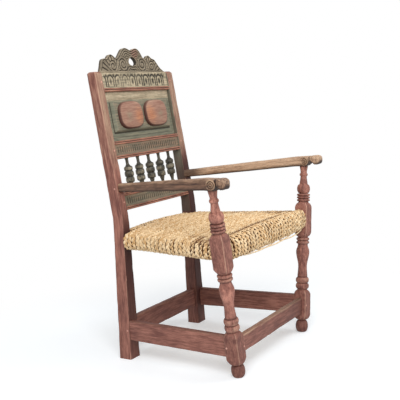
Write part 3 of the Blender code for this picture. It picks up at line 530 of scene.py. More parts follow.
def squared_ring(half_width, half_height, rounding, flat_shares=(0.1, 0.37, 0.63, 0.9)):
    """Points of a rounded rectangle, each with how near it is to a corner's middle."""
    points = []
    corners = ((1, 1), (-1, 1), (-1, -1), (1, -1))
    for number, (x_sign, y_sign) in enumerate(corners):
        for share in (0, 0.25, 0.5, 0.75, 1):
            turn = (number + share) * math.pi / 2
            x = x_sign * (half_width - rounding) + rounding * math.cos(turn)
            y = y_sign * (half_height - rounding) + rounding * math.sin(turn)
            points.append((x, y, 1 - abs(2 * share - 1) ** 2 * 0.85))
        next_x, next_y = corners[(number + 1) % 4]
        end_x = next_x * (half_width - rounding) + rounding * math.cos(turn)
        end_y = next_y * (half_height - rounding) + rounding * math.sin(turn)
        for share in flat_shares:
            points.append((x + (end_x - x) * share, y + (end_y - y) * share, 0))
    return points


def timber(name, stations, rounding, seed):
    """A squared, hand-worked length: stations are (middle, across, up, half width, half height)."""
    skin = Skin()
    along = 0
    last = stations[0][0]
    for middle, across, up, half_width, half_height in stations:
        along += (middle - last).length
        last = middle
        for x, y, edge in skin.ring(squared_ring(half_width, half_height, rounding)):
            place = middle + across * x + up * y
            nick = max(0, rough(place, 38, seed)) * NICK_DEPTH * edge
            worked = pressed(place, middle, nick + UNEVENNESS * rough(place, 14, seed + 5))
            skin.add(worked, wear=edge, grain=(along + seed, x, y))
    return skin.mesh(name)


def bead(bottom, top, base, peak, steps=9):
    """Heights and radii of a half-round ring between two heights."""
    turns = [math.pi * i / steps - math.pi / 2 for i in range(steps + 1)]
    middle = (bottom + top) / 2
    half = (top - bottom) / 2
    return [(middle + half * math.sin(t), base + (peak - base) * math.cos(t)) for t in turns]


def ease(bottom, top, start, end, steps=10):
    """Heights and radii of an S-shaped change from one radius to another."""
    shares = [i / steps for i in range(1, steps + 1)]
    waves = [(1 - math.cos(math.pi * share)) / 2 for share in shares]
    return [(bottom + (top - bottom) * s, start + (end - start) * w) for s, w in zip(shares, waves)]


# Posts, stretchers and legs


def post_front_y(z):
    """Front face of a rear post: upright below the bend and raked above it."""
    past = z - BEND_HEIGHT
    if past <= -BEND_REACH:
        return REAR_Y
    if past >= BEND_REACH:
        return REAR_Y + BACK_RAKE * past
    return REAR_Y + BACK_RAKE * (past + BEND_REACH) ** 2 / (4 * BEND_REACH)


def post_width(z):
    """Width of a rear post, which spreads outwards from the bend down to its foot."""
    return POST_FOOT_WIDTH + (POST_WIDTH - POST_FOOT_WIDTH) * min(z / BEND_HEIGHT, 1)


def make_post(side, sign):
    heights, depths = zip(*POST_DEPTHS)
    across, backward = Vector((1, 0, 0)), Vector((0, 1, 0))
    stations = []
    for z in [*np.linspace(0, POST_TOP - POST_CAP, 130), POST_TOP - POST_CAP / 3, POST_TOP]:
        shrink = max(0, z - (POST_TOP - POST_CAP)) * 0.9
        half_depth = np.interp(z, heights, depths) / 2
        half_width = post_width(z) / 2
        middle = Vector((sign * (POST_INNER_X + half_width), post_front_y(z) + half_depth, z))
        stations.append((middle, across, backward, half_width - shrink, half_depth - shrink))
    mesh = timber(f"post_{side}", stations, POST_ROUNDING, 3 + 10 * sign)
    shade_top, front_shade = (0.6, 0.9) if side == "right" else (0.78, 1.1)
    x, y, z = places_of(mesh).T
    front_face = y - np.vectorize(post_front_y)(z) < POST_ROUNDING / 2
    inner_face = np.abs(x) - POST_INNER_X < POST_ROUNDING / 2
    # Painted shade under the arm and the seat, on the front and inner faces, heavier on the far post
    shaded = clamp((shade_top - z) / 0.16) * (0.6 + 0.45 * clamp(z / 0.4))
    values = {
        "tan": clamp((z - 0.6) / 0.14) * np.where(front_face, 0.62, 0.38),
        "green": 0.75 * inner_face * (z > 0.46),
        "depth": shaded * np.where(front_face, front_shade, 0.65 * inner_face),
    }
    set_values(mesh, values)
    add_piece(mesh, RED, [f"rear_post_{side}"])


def node_ends(node, axis):
    """Middles of a node's two end faces along an axis, at the height of the node's own middle."""
    places = places_of(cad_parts[node].data)
    values = places[:, axis]
    middle_z = (places[:, 2].min() + places[:, 2].max()) / 2
    ends = []
    for limit in (values.min(), values.max()):
        face = places[np.abs(values - limit) < END_TOLERANCE]
        middle = (face.min(axis=0) + face.max(axis=0)) / 2
        ends.append(Vector((middle[0], middle[1], middle_z)))
    return ends


def make_stretcher(label, axis, seed, gloom=(0.0, 0.0), trim=0.0, worn_top=0.1):
    """A squared stretcher; gloom is the painted shade at its two ends, and trim takes wood off its
    edges.
    """
    node = f"{label}_stretcher" if axis == 0 else f"side_stretcher_{label}"
    start, end = node_ends(node, axis)
    low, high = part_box(node)
    up = Vector((0, 0, 1))
    across = (end - start).cross(up).normalized()
    half_height = (high.z - low.z) / 2 - trim
    stations = []
    for share in np.linspace(0, 1, 80):
        stations.append((start.lerp(end, share), across, up, STRETCHER_THICKNESS / 2, half_height))
    mesh = timber(f"stretcher_{label}", stations, STRETCHER_ROUNDING, seed)
    places = places_of(mesh)
    on_top = places[:, 2] > start.z + half_height - STRETCHER_ROUNDING
    shaded = np.interp(places[:, axis], (start[axis], end[axis]), gloom)
    # Painted shade on the top face, unless worn_top leaves it pale and worn
    depth = np.where(on_top & (worn_top < 0.5), np.maximum(shaded, 0.55), shaded)
    set_values(mesh, {"tan": np.where(on_top, worn_top, 0.2), "depth": depth})
    add_piece(mesh, RED, [node])


def stacked_rings(bottom, top, count=2):
    """Heights and radii of rings over each other."""
    edges = np.linspace(bottom, top, count + 1)
    pairs = []
    for low, high in zip(edges, edges[1:]):
        pairs += bead(low + RING_SLIT, high, LEG_GROOVE, RING_RADIUS)
    return pairs


def block(bottom, top):
    """Heights and lathe radii of a block with turned shoulders, left square between them."""
    growth = BLOCK_CORNER - LEG_GROOVE
    steps = [i / 8 for i in range(9)]
    rise = [(bottom + SHOULDER_HEIGHT * s, LEG_GROOVE + growth * s**0.65) for s in steps]
    fall = [(top - (z - bottom), radius) for z, radius in reversed(rise)]
    middle = np.linspace(bottom + SHOULDER_HEIGHT, top - SHOULDER_HEIGHT, 14)[1:-1]
    return [*rise, *((z, UNTURNED) for z in middle), *fall]


def leg_profile():
    """Height, lathe radius and kind at each step up a front leg."""
    narrow_z, narrow = SHAFT_NARROW
    neck_z, neck = NECK
    ring_bottom, ring_top, ring_radius = NECK_RING
    parts = (
        ("round", bead(*BALL, 18)),
        ("block", block(*STRETCHER_BLOCK)),
        ("ring", stacked_rings(*LOW_RINGS)),
        ("round", ease(LOW_RINGS[1], narrow_z, LEG_GROOVE, narrow, 6)),
        ("round", ease(narrow_z, BALUSTER_SWELL, narrow, RING_RADIUS, 14)),
        ("round", ease(BALUSTER_SWELL, HIGH_RINGS[0] - RING_GAP, RING_RADIUS, LEG_GROOVE, 10)),
        ("ring", stacked_rings(*HIGH_RINGS)),
        ("block", block(*SEAT_BLOCK)),
        ("ring", stacked_rings(*COLLAR_RINGS, 3)),
        ("round", bead(*BULB, 14)),
        ("round", ease(BULB[1], neck_z, BULB[2], neck, 8)),
        ("round", bead(ring_bottom, ring_top, neck, ring_radius, 6)),
        ("round", ease(ring_top + RING_GAP, LEG_TOP, neck, ring_radius, 8)),
    )
    return [(z, radius, kind) for kind, pairs in parts for z, radius in pairs]


def leg_axis_x(z):
    return LEG_FOOT_X + LEG_SPLAY * z


def leg_face_x(z):
    return leg_axis_x(z) - HALF_BLOCK


def side_line_x(y, height):
    """Middle of an arm or a side rail in plan, from the rear post to the splayed leg at a height."""
    return POST_MIDDLE_X + (leg_axis_x(height) - POST_MIDDLE_X) * (REAR_Y - y) / LEG_TO_POST


def make_leg(side, sign):
    tilt = Matrix.Translation((sign * LEG_FOOT_X, FRONT_Y, 0)) @ Matrix.Rotation(sign * LEG_TILT, 4, "Y")
    rubbed = 0.5 if side == "right" else 0.35
    power = BLOCK_CORNER_POWER
    skin = Skin()
    for z, radius, kind in leg_profile():
        square = kind == "block"
        # Painted shade in the grooves between rings and just under the arm; the leg is also darker
        # towards its foot
        groove = 0.75 * clamp((LEG_GROOVE + GROOVE_SOFTNESS - radius) / GROOVE_SOFTNESS)
        under_arm = max(0, 1 - (LEG_TOP - z) / 0.022)
        low = 0.6 if z < BALL[1] else 0.38 * clamp((0.3 - z) / 0.06)
        for cosine, sine in skin.ring(circle(LEG_SIDES)):
            reach = radius
            edge = (0.8 if kind == "ring" else 0.3) if radius > LEG_GROOVE * 1.2 else 0.0
            if square:
                flat = HALF_BLOCK * (abs(cosine) ** power + abs(sine) ** power) ** (-1 / power)
                reach = min(radius, flat)
                edge = max(0, 1 - abs(abs(cosine) - abs(sine)) / 0.12)
            place = tilt @ Vector((reach * cosine, reach * sine, z))
            place.z = max(place.z, 0)
            nick = max(0, rough(place, 45, sign * 4)) * LEG_NICK_DEPTH * edge
            uneven = LEG_UNEVENNESS * rough(place, 20, sign * 8)
            skin.add(
                pressed(place, tilt @ Vector((0, 0, z)), nick + uneven),
                wear=1.7 * edge if square else edge,
                depth=groove if kind == "ring" else max(0.5 * under_arm, low),
                rubbed=rubbed if kind == "round" else 0.14,
                grain=(2.6 * z + 3 * sign, 0.7 * reach * cosine, 0.7 * reach * sine),
            )
    add_piece(skin.mesh(f"leg_{side}"), RED, [f"front_leg_{side}"])


# Arms


def smooth_rows(table, steps):
    """Rows of a table joined by smooth curves, with a number of steps in each interval."""
    table = np.array(table, dtype=float)
    ends = np.vstack([2 * table[0] - table[1], table, 2 * table[-1] - table[-2]])
    rows = []
    for before, start, end, after in zip(ends, ends[1:], ends[2:], ends[3:]):
        linear = (end - before) / 2
        square = before - 2.5 * start + 2 * end - after / 2
        cubic = 1.5 * (start - end) + (after - before) / 2
        for t in np.linspace(0, 1, steps, endpoint=False):
            rows.append(start + linear * t + square * t**2 + cubic * t**3)
    return [*rows, table[-1]]


def arm_rows():
    """Places along an arm from its tip: y, half width, underside and top."""
    rows = []
    for distance, width, low, high in smooth_rows(ARM_SECTIONS, 5):
        bottom, top = (ARM_FRONT_BOTTOM + ARM_FRONT_THICKNESS * share for share in (low, high))
        rows.append((ARM_TIP_Y + distance, ARM_FRONT_HALF_WIDTH * width, bottom, top))
    start = rows[-1]
    half = ARM_REAR_THICKNESS / 2
    end_y = REAR_Y + BACK_RAKE * (ARM_REAR_HEIGHT - BEND_HEIGHT) + ARM_IN_POST
    end = (end_y, ARM_REAR_HALF_WIDTH, ARM_REAR_HEIGHT - half, ARM_REAR_HEIGHT + half)
    for share in np.linspace(0, 1, 60)[1:]:
        rows.append(tuple(a + (b - a) * share for a, b in zip(start, end)))
    return rows


def make_arm(side, sign):
    flat_shares = np.linspace(0.04, 0.96, 16)
    skin = Skin()
    for y, half_width, bottom, top in arm_rows():
        half_height = (top - bottom) / 2
        rounding = min(ARM_ROUNDING, half_height * 0.8, half_width * 0.8)
        middle = Vector((sign * side_line_x(y, ARM_FRONT_BOTTOM), y, (bottom + top) / 2))
        back = y - ARM_TIP_Y
        neck = math.exp(-(((back - ROLL_NECK) / ROLL_NECK_WIDTH) ** 2))
        rolled = clamp((ROLL_LENGTH - back) / 0.004)
        points = squared_ring(half_width, half_height, rounding, flat_shares)
        for x, height, edge in skin.ring(points):
            place = middle + Vector((x, 0, height))
            turn = math.atan2(x, ROLL_LENGTH * 0.7 - back)
            flute = max(0, math.cos(ROLL_FLUTES * turn)) ** 2
            cut = flute * rolled * (abs(x) > half_width * 0.3)
            nick = ARM_NICK_DEPTH * edge * rough(place, 50, 3)
            uneven = ARM_UNEVENNESS * rough(place, 22, 6 * sign) + nick
            on_side = abs(x) > half_width - rounding
            # Painted shade: on the underside, in the roll's neck and flutes, on the near arm's sides and
            # towards the far arm's rear end
            under = max(0, -height / half_height - 0.05)
            if side == "right":
                shaded = max(neck * on_side, 0.36 * on_side * (back > 0.07))
                tan = 0.42 if back < ROLL_LENGTH else 0.38 * (height > half_height * 0.5)
                red = 0.2 + 0.14 * on_side
            else:
                shaded = max(0.6 * neck * on_side, 0.75 * clamp((y - REAR_Y + 0.1) / 0.08))
                tan, red = 0.65, 0.32
            skin.add(
                pressed(place, middle, uneven + FLUTE_DEPTH * cut),
                wear=edge * (0.7 if height > 0 else 0.1) + 0.25 * (height > half_height * 0.9),
                depth=max(under, shaded, 0.6 * cut),
                tan=tan,
                red=red,
                grain=(y + 5 * sign, x, height),
            )
    add_piece(skin.mesh(f"arm_{side}"), ARM, [f"armrest_{side}"])


def make_rosettes(side, sign):
    """A turned disc on each cheek of an arm, over the leg."""
    y = ARM_TIP_Y + ROSETTE_BACK
    middle_z = ARM_FRONT_BOTTOM + ARM_FRONT_THICKNESS * 0.52
    for cheek, hand in (("outer", 1), ("inner", -1)):
        face_x = sign * (side_line_x(y, ARM_FRONT_BOTTOM) + hand * ARM_FRONT_HALF_WIDTH * 0.98)
        skin = Skin()
        for share, proud in ROSETTE_PROFILE:
            # Painted shade in the disc's low rings, lighter on the inner cheek
            deep = (1.0 if hand > 0 else 0.35) if proud < 0.0013 else 0.0
            wear = 0.75 if proud > 0.002 else 0.1
            for dy, dz in skin.ring(circle(ROSETTE_SIDES, ROSETTE_RADIUS * share)):
                place = (face_x + sign * hand * proud, y + dy, middle_z + dz)
                skin.add(place, wear=wear, depth=deep, grain=(dy + 2 * sign, dz, hand))
        add_piece(skin.mesh(f"rosette_{side}_{cheek}"), ARM, [])


# Back boards, in the raked plane: x across, y from the posts' front faces backwards, z up the back


def plane_box(node):
    """Lowest and highest corner of a node in the raked plane of the back."""
    places = places_of(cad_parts[node].data, INTO_BACK)
    return places.min(axis=0), places.max(axis=0)


def board_grid(bottom, top, spacing):
    """Places on a board between the posts."""
    reach = POST_INNER_X + BOARD_IN_POST
    xs = np.arange(-reach, reach, spacing)
    zs = np.linspace(bottom, top, int((top - bottom) / spacing))
    return np.meshgrid(xs, zs, indexing="ij")


def pierce(builder, hole, depth_layer):
    """Cuts an opening out of a board's front, with its rim drawn to the opening's edge and given painted
    shade.
    """
    inside = [face for face in builder.faces if hole(face.calc_center_median()) < 1]
    bmesh.ops.delete(builder, geom=inside, context="FACES")
    rim = {vert for edge in builder.edges if edge.is_boundary for vert in edge.verts}
    for vert in rim:
        share = hole(vert.co)
        if share < 2:
            # Painted shade on the opening's rim
            vert[depth_layer] = 0.8
            vert.co.x /= share
            vert.co.z = hole.middle + (vert.co.z - hole.middle) / share


def board(name, x, z, front, rear, values, rear_values, hole=None):
    """A board whose front face is a height field on a grid, with one value of each kind on its back.

    hole maps a place to its share inside a pierced opening, and gives the board edges with painted
    shade.
    """
    builder = bmesh.new()
    grain_layer = builder.verts.layers.float_vector.new("grain")
    layers = {key: builder.verts.layers.float.new(key) for key in values}
    grid = []
    for i in range(x.shape[0]):
        column = []
        for j in range(x.shape[1]):
            vert = builder.verts.new((x[i, j], front[i, j], z[i, j]))
            vert[grain_layer] = (x[i, j] + rear * 7, z[i, j], 0)
            for key, layer in layers.items():
                vert[layer] = values[key][i, j]
            column.append(vert)
        grid.append(column)
    for left, right in zip(grid, grid[1:]):
        for j in range(len(left) - 1):
            builder.faces.new((left[j], right[j], right[j + 1], left[j + 1]))
    walls = [(rear, rear_values)]
    if hole:
        pierce(builder, hole, layers["depth"])
        # The opening's inner wall gets painted shade
        walls.insert(0, (rear - WALL_EDGE, {"depth": 0.9}))
    border = [edge for edge in builder.edges if edge.is_boundary]
    for wall_y, wall_values in walls:
        extruded = bmesh.ops.extrude_edge_only(builder, edges=border)["geom"]
        for vert in (item for item in extruded if isinstance(item, bmesh.types.BMVert)):
            vert.co.y = wall_y
            for key, layer in layers.items():
                vert[layer] = wall_values.get(key, 0)
        edges = [item for item in extruded if isinstance(item, bmesh.types.BMEdge)]
        border = [edge for edge in edges if edge.is_boundary]
    bmesh.ops.triangle_fill(builder, use_beauty=True, edges=border)
    bmesh.ops.recalc_face_normals(builder, faces=builder.faces)
    builder.transform(BACK)
    mesh = bpy.data.meshes.new(name)
    builder.to_mesh(mesh)
    builder.free()
    return mesh


def ridge(distance, width):
    """A rounded ridge: 1 on its line and 0 from its width outwards."""
    return clamp(1 - (distance / width) ** 2) ** 0.5


def repeat(x, period):
    """Place within a repeated motif, from -1 to 1."""
    return (x / period - np.floor(x / period) - 0.5) * 2


def moulding(z, bottom):
    """A run moulding of two beads: its relief as a share, and its quirks, as shares for painted shade.
    """
    share = (z - bottom) / MOULDING_HEIGHT
    within = (share >= 0) & (share <= 1)
    beads = ridge(share - 0.25, 0.24) + ridge(share - 0.76, 0.22)
    quirks = np.maximum(ridge(share - 0.51, 0.12), ridge(share - 1.0, 0.1))
    return np.where(within, 0.2 + 0.8 * beads, 0), np.where(within, quirks, 0)


def tongues(x, up, period):
    """Cut lines of a row of upright tongues, with a drilled eye between each two."""
    across = repeat(x, period)
    head = np.hypot(across / 0.86, np.maximum(up - 0.52, 0) / 0.42)
    rim = ridge(head - 0.86, 0.24)
    inner = ridge(np.hypot(across / 0.36, (up - 0.38) / 0.28), 1)
    gap = repeat(x + period / 2, period)
    eye = ridge(np.hypot(gap / 0.34, (up - 0.85) / 0.16), 1)
    return np.maximum.reduce([rim, inner, eye])


def flutes(x, up, period):
    """Cut lines of a row of short round-ended flutes."""
    across = repeat(x, period)
    ends = np.maximum(np.abs(up - 0.5) - 0.3, 0) / 0.16
    return ridge(np.hypot(across / 0.52, ends), 1)


# Carvings: pattern, its period, the margin over and under it and the depth of its cuts
TONGUES = (tongues, 0.043, 0.004, 0.0034)
FLUTES = (flutes, 0.0125, 0.005, 0.0028)


def make_rail(name, carving, darkness, mouldings=2, tan=0.0, brown=0.0, raised=0.0):
    """A carved rail with a moulding along its lower edge, or with a second one along its upper edge."""
    pattern, period, margin, cut_depth = carving
    low, high = plane_box(name)
    bottom, top = low[2], high[2] + raised
    x, z = board_grid(bottom, top, RAIL_SPACING)
    relief = np.zeros_like(x)
    red = np.zeros_like(x)
    depth = np.zeros_like(x)
    for edge, start in ((bottom, bottom), (top, top - MOULDING_HEIGHT))[:mouldings]:
        rise, quirks = moulding(z, start)
        relief += MOULDING_PROUD * rise
        # Painted shade in the moulding's quirks; the carved cuts get painted shade by darkness below
        depth += 0.85 * quirks
        red = np.maximum(red, np.abs(z - edge) < MOULDING_HEIGHT)
    field_bottom = bottom + MOULDING_HEIGHT + margin
    field_top = top - MOULDING_HEIGHT * (mouldings - 1) - margin
    inside = (z > field_bottom) & (z < field_top) & (np.abs(x) < POST_INNER_X - BAND_MARGIN)
    worn = np.clip(0.9 + 0.6 * wave(x * 22, z * 22, bottom), 0.35, 1)
    up = (z - field_bottom) / (field_top - field_bottom)
    cuts = np.where(inside, pattern(x, up, period) * worn, 0)
    values = {
        "depth": np.maximum(depth, darkness * cuts),
        "wear": np.where(red > 0, 0.55, 0.15) * (1 - cuts),
        "red": red * 0.8,
        "tan": tan * (1 - red),
        "brown": brown * (1 - red),
    }
    front = BACK_SETBACK - (relief - cut_depth * cuts)
    rear = BACK_SETBACK + RAIL_THICKNESS
    mesh = board(f"{name}_carved", x, z, front, rear, values, {"red": 0.7})
    add_piece(mesh, GREEN, [name])


def make_panel():
    low, high = plane_box("back_panel")
    bottom, top = low[2] + PANEL_GROOVE, high[2] - PANEL_GROOVE
    x, z = board_grid(bottom, top, PANEL_SPACING)
    from_post = POST_INNER_X - np.abs(x)
    margin = np.minimum(from_post, np.minimum(z - bottom, top - z))
    raised = clamp((margin - FIELD_MARGIN) / FIELD_SLOPE)
    # Painted shade: in the quirks round the field, on its lower slope and along the posts, lighter along
    # its top
    quirk = ridge(margin - FIELD_MARGIN * 0.94, 0.003) + 0.7 * ridge(margin - FIELD_MARGIN * 0.4, 0.002)
    entry = clamp(1 - from_post / 0.005)
    shaded = np.where(z > top - FIELD_MARGIN - FIELD_SLOPE, 0.35, 0.9)
    below = clamp((bottom + FIELD_MARGIN + 0.006 - z) / 0.004)
    slope = (raised > 0) & (raised < 1)
    values = {
        "depth": clamp(shaded * quirk + 0.6 * slope * below + 0.9 * entry),
        "wear": 0.8 * ridge(margin - FIELD_MARGIN - FIELD_SLOPE, 0.002),
        "brown": 0.4 * (raised == 1),
        "tan": 1.2 * clamp((z - top + FIELD_MARGIN + 0.01) / 0.02) + 0.3 * (raised == 1),
    }
    front = PANEL_SETBACK - FIELD_PROUD * raised + QUIRK_DEPTH * quirk
    mesh = board("panel_field", x, z, front, high[1], values, {"brown": 0.6})
    add_piece(mesh, GREEN, ["back_panel"])


def make_boss(side, sign):
    """A low cushion on a rounded rectangle, over an upright edge darkened with painted shade."""
    low, high = plane_box(f"boss_{side}")
    x, z = (low[0] + high[0]) / 2, (low[2] + high[2]) / 2
    face_y = high[1]
    skin = Skin()
    for share, lift in BOSS_PROFILE:
        for i in skin.ring(range(BOSS_SIDES)):
            across, height = squared_turn(2 * math.pi * i / BOSS_SIDES, BOSS_ROUNDING)
            dx = share * across * BOSS_SIZE[0] / 2
            dz = share * height * BOSS_SIZE[1] / 2
            bump = BOSS_UNEVENNESS * rough((dx, sign, dz), 40, 2)
            # Painted shade on the rim, heavier towards the bottom and the -X side
            sided = 0.75 - 0.4 * (across + height) / 1.5
            orange = max(0, 1 - math.hypot(dx + sign * 0.042, dz + 0.006) / 0.07)
            grey = max(0, 1 - math.hypot(dx - sign * 0.02, dz + 0.004) / 0.06)
            skin.add(
                BACK @ Vector((x + dx, face_y - lift * BOSS_PROUD - bump, z + dz)),
                wear=0.4 if 0.85 < share < 0.97 else 0.1,
                depth=sided * clamp(1.35 - (1 - share) / 0.11),
                red=0.7 * orange,
                green=0.55 * grey,
                grain=(dx + sign, dz, 0),
            )
    add_piece(skin.mesh(f"boss_{side}_dome"), BOSS, [f"boss_{side}"])


def spindle_profile(bottom, top):
    """Heights and radii: a foot, a swelling shaft, three stacked beads and a thin neck."""

    def at(share):
        return bottom + (top - bottom) * share

    bulb, groove, neck = SPINDLE_BEAD, SPINDLE_GROOVE, SPINDLE_NECK
    slit = (groove + bulb) / 2
    return [
        (bottom - SPINDLE_IN_RAIL, groove),
        (at(0.06), groove),
        *ease(at(0.06), at(0.1), groove, neck, 6),
        *ease(at(0.12), at(0.27), neck, groove, 10),
        *bead(at(0.28), at(0.44), slit, bulb * 0.95, 12),
        *bead(at(0.45), at(0.62), slit, bulb, 12),
        *bead(at(0.63), at(0.75), slit, bulb * 0.94, 10),
        *ease(at(0.76), at(0.84), groove, neck, 6),
        *ease(at(0.95), at(0.99), neck, neck * 1.25, 6),
        (top + SPINDLE_IN_RAIL, neck * 1.25),
    ]


def make_spindles():
    for number in range(1, 6):
        node = f"spindle_{number}"
        low, high = plane_box(node)
        middle = (low + high) / 2
        skin = Skin()
        for z, radius in spindle_profile(low[2] + SPINDLE_TENON, high[2] - SPINDLE_TENON):
            swell = (radius - SPINDLE_GROOVE) / (SPINDLE_BEAD - SPINDLE_GROOVE)
            wear = 0.6 * clamp(swell * 2.2 - 1.2)
            # Painted shade on the beads' flanks, beside the grooves
            slit = max(0, 1 - abs(swell - 0.5) / 0.2)
            for dx, dy in skin.ring(circle(SPINDLE_SIDES, radius)):
                place = BACK @ Vector((middle[0] + dx, middle[1] + dy, z))
                skin.add(place, wear=wear, depth=slit, grain=(z * 3 + number, dx, dy))
        add_piece(skin.mesh(f"baluster_{number}"), DARK, [node])


# Crest


class CrestHole:
    """The pierced opening, wider below than above: less than 1 inside it, 1 on its edge."""

    def __init__(self, base):
        self.width, self.height, over_rail = CREST_HOLE
        self.middle = base + over_rail

    def __call__(self, place):
        z = (place[2] - self.middle) / (self.height / 2)
        width = self.width / 2 * (1 - CREST_HOLE_TAPER * np.clip(z, -1, 1))
        return np.hypot(place[0] / width, z)


def crest_edge(base, hole):
    """The crest's upper edge as places across and heights in the back's plane, from its node."""
    found = {}
    front_y, foot_z = BACK_SETBACK + CREST_TOLERANCE, base + CREST_TOLERANCE
    for x, y, z in places_of(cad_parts["crest"].data, INTO_BACK):
        if y < front_y and z > foot_z and hole((x, y, z)) > 1.3:
            key = round(x, 4)
            found[key] = max(z, found.get(key, 0))
    xs = np.array(sorted(found))
    return xs, np.array([found[x] for x in xs])


def spiral(x, z, centre, turns, radius, hand):
    """A scroll's raised band, winding in to its eye."""
    dx, dz = (x - centre[0]) * hand, z - centre[1]
    distance = np.hypot(dx, dz)
    turn = np.arctan2(dz, dx) / (2 * math.pi)
    wound = distance / radius * turns - turn
    band = ridge(wound - np.round(wound), 0.37)
    eye = ridge(distance, radius * 0.2)
    return np.maximum(band, eye) * (distance < radius)


def crest_ornament(x, z, gap, base, hole):
    """The carving's height as a share; gap is the distance to the crest's edge."""
    up = z - base
    rim = (hole((x, None, z)) - 1) * hole.width / 2
    # Bands that follow the scrolled edge
    raised = ridge(repeat(gap + CARVED_BAND / 2, CARVED_BAND), 0.78)
    for hand in (-1, 1):
        # Leaves fanned out on the shoulder
        fan = np.arctan2(up - LEAF_ROOT[1], (x - hand * LEAF_ROOT[0]) * hand)
        leaf = ridge(repeat(fan, LEAF_TURN), 0.8)
        raised = np.where((x * hand > LEAVES_FROM) & (gap > LEAF_MARGIN), leaf, raised)
        for out, over_rail, radius, turns in VOLUTES:
            centre = (hand * out, base + over_rail)
            distance = np.hypot(x - centre[0], z - centre[1])
            raised = np.where(distance < radius, spiral(x, z, centre, turns, radius, -hand), raised)
    for distance, (width, line, half) in ((rim, HOLE_BEAD), (up, FOOT_BEAD)):
        raised = np.where(distance < width, ridge(distance - line, half), raised)
    return raised


def make_crest():
    columns, rows = CREST_GRID
    base = plane_box("top_rail")[1][2]
    hole = CrestHole(base)
    edge_x, edge_z = crest_edge(base, hole)
    xs = np.linspace(edge_x[0], edge_x[-1], columns)
    tops = np.interp(xs, edge_x, edge_z)
    x = np.repeat(xs[:, None], rows, axis=1)
    z = base + (tops - base)[:, None] * np.linspace(0, 1, rows)[None, :]
    gap = np.full(x.shape, np.inf)
    for edge in zip(xs, tops):
        gap = np.minimum(gap, np.hypot(x - edge[0], z - edge[1]))
    raised = crest_ornament(x, z, gap, base, hole)
    grainy = wave(x * 140, z * 140, 0)
    relief = CARVING_DEPTH * (raised * (0.9 + 0.15 * grainy) - 1)
    relief -= CREST_EDGE_FALL * clamp(1 - gap / CREST_EDGE_WIDTH) ** 2
    reddish = 0.9 - np.hypot(x - 0.02, (z - base - 0.072) * 1.2) / 0.05
    # Painted shade in the carved recesses
    values = {
        "depth": clamp(1.2 - raised * 1.5),
        "wear": raised * 0.6,
        "red": np.clip(reddish, 0, 0.8),
    }
    rear = BACK_SETBACK + CREST_THICKNESS
    mesh = board("crest_carving", x, z, BACK_SETBACK - relief, rear, values, {}, hole)
    add_piece(mesh, CREST, ["crest"])


# Rope seat


def resample(points, step):
    """Points a steady step apart along the line through the given ones."""
    points = np.array(points)
    lengths = np.linalg.norm(np.diff(points, axis=0), axis=1)
    along = np.concatenate([[0], np.cumsum(lengths)])
    places = np.linspace(0, along[-1], int(along[-1] / step) + 1)
    return np.column_stack([np.interp(places, along, points[:, k]) for k in range(3)]), places


def unit(vectors):
    return vectors / np.maximum(np.linalg.norm(vectors, axis=1), 1e-9)[:, None]


def square_to(axis, vectors):
    """Unit vectors at right angles to an axis, on the side of the given ones."""
    return unit(vectors - axis * np.sum(vectors * axis, axis=1)[:, None])


def drifting(along, speed, seed):
    """Slow noise along a rope."""
    return wave(along * speed, seed, 0.7)


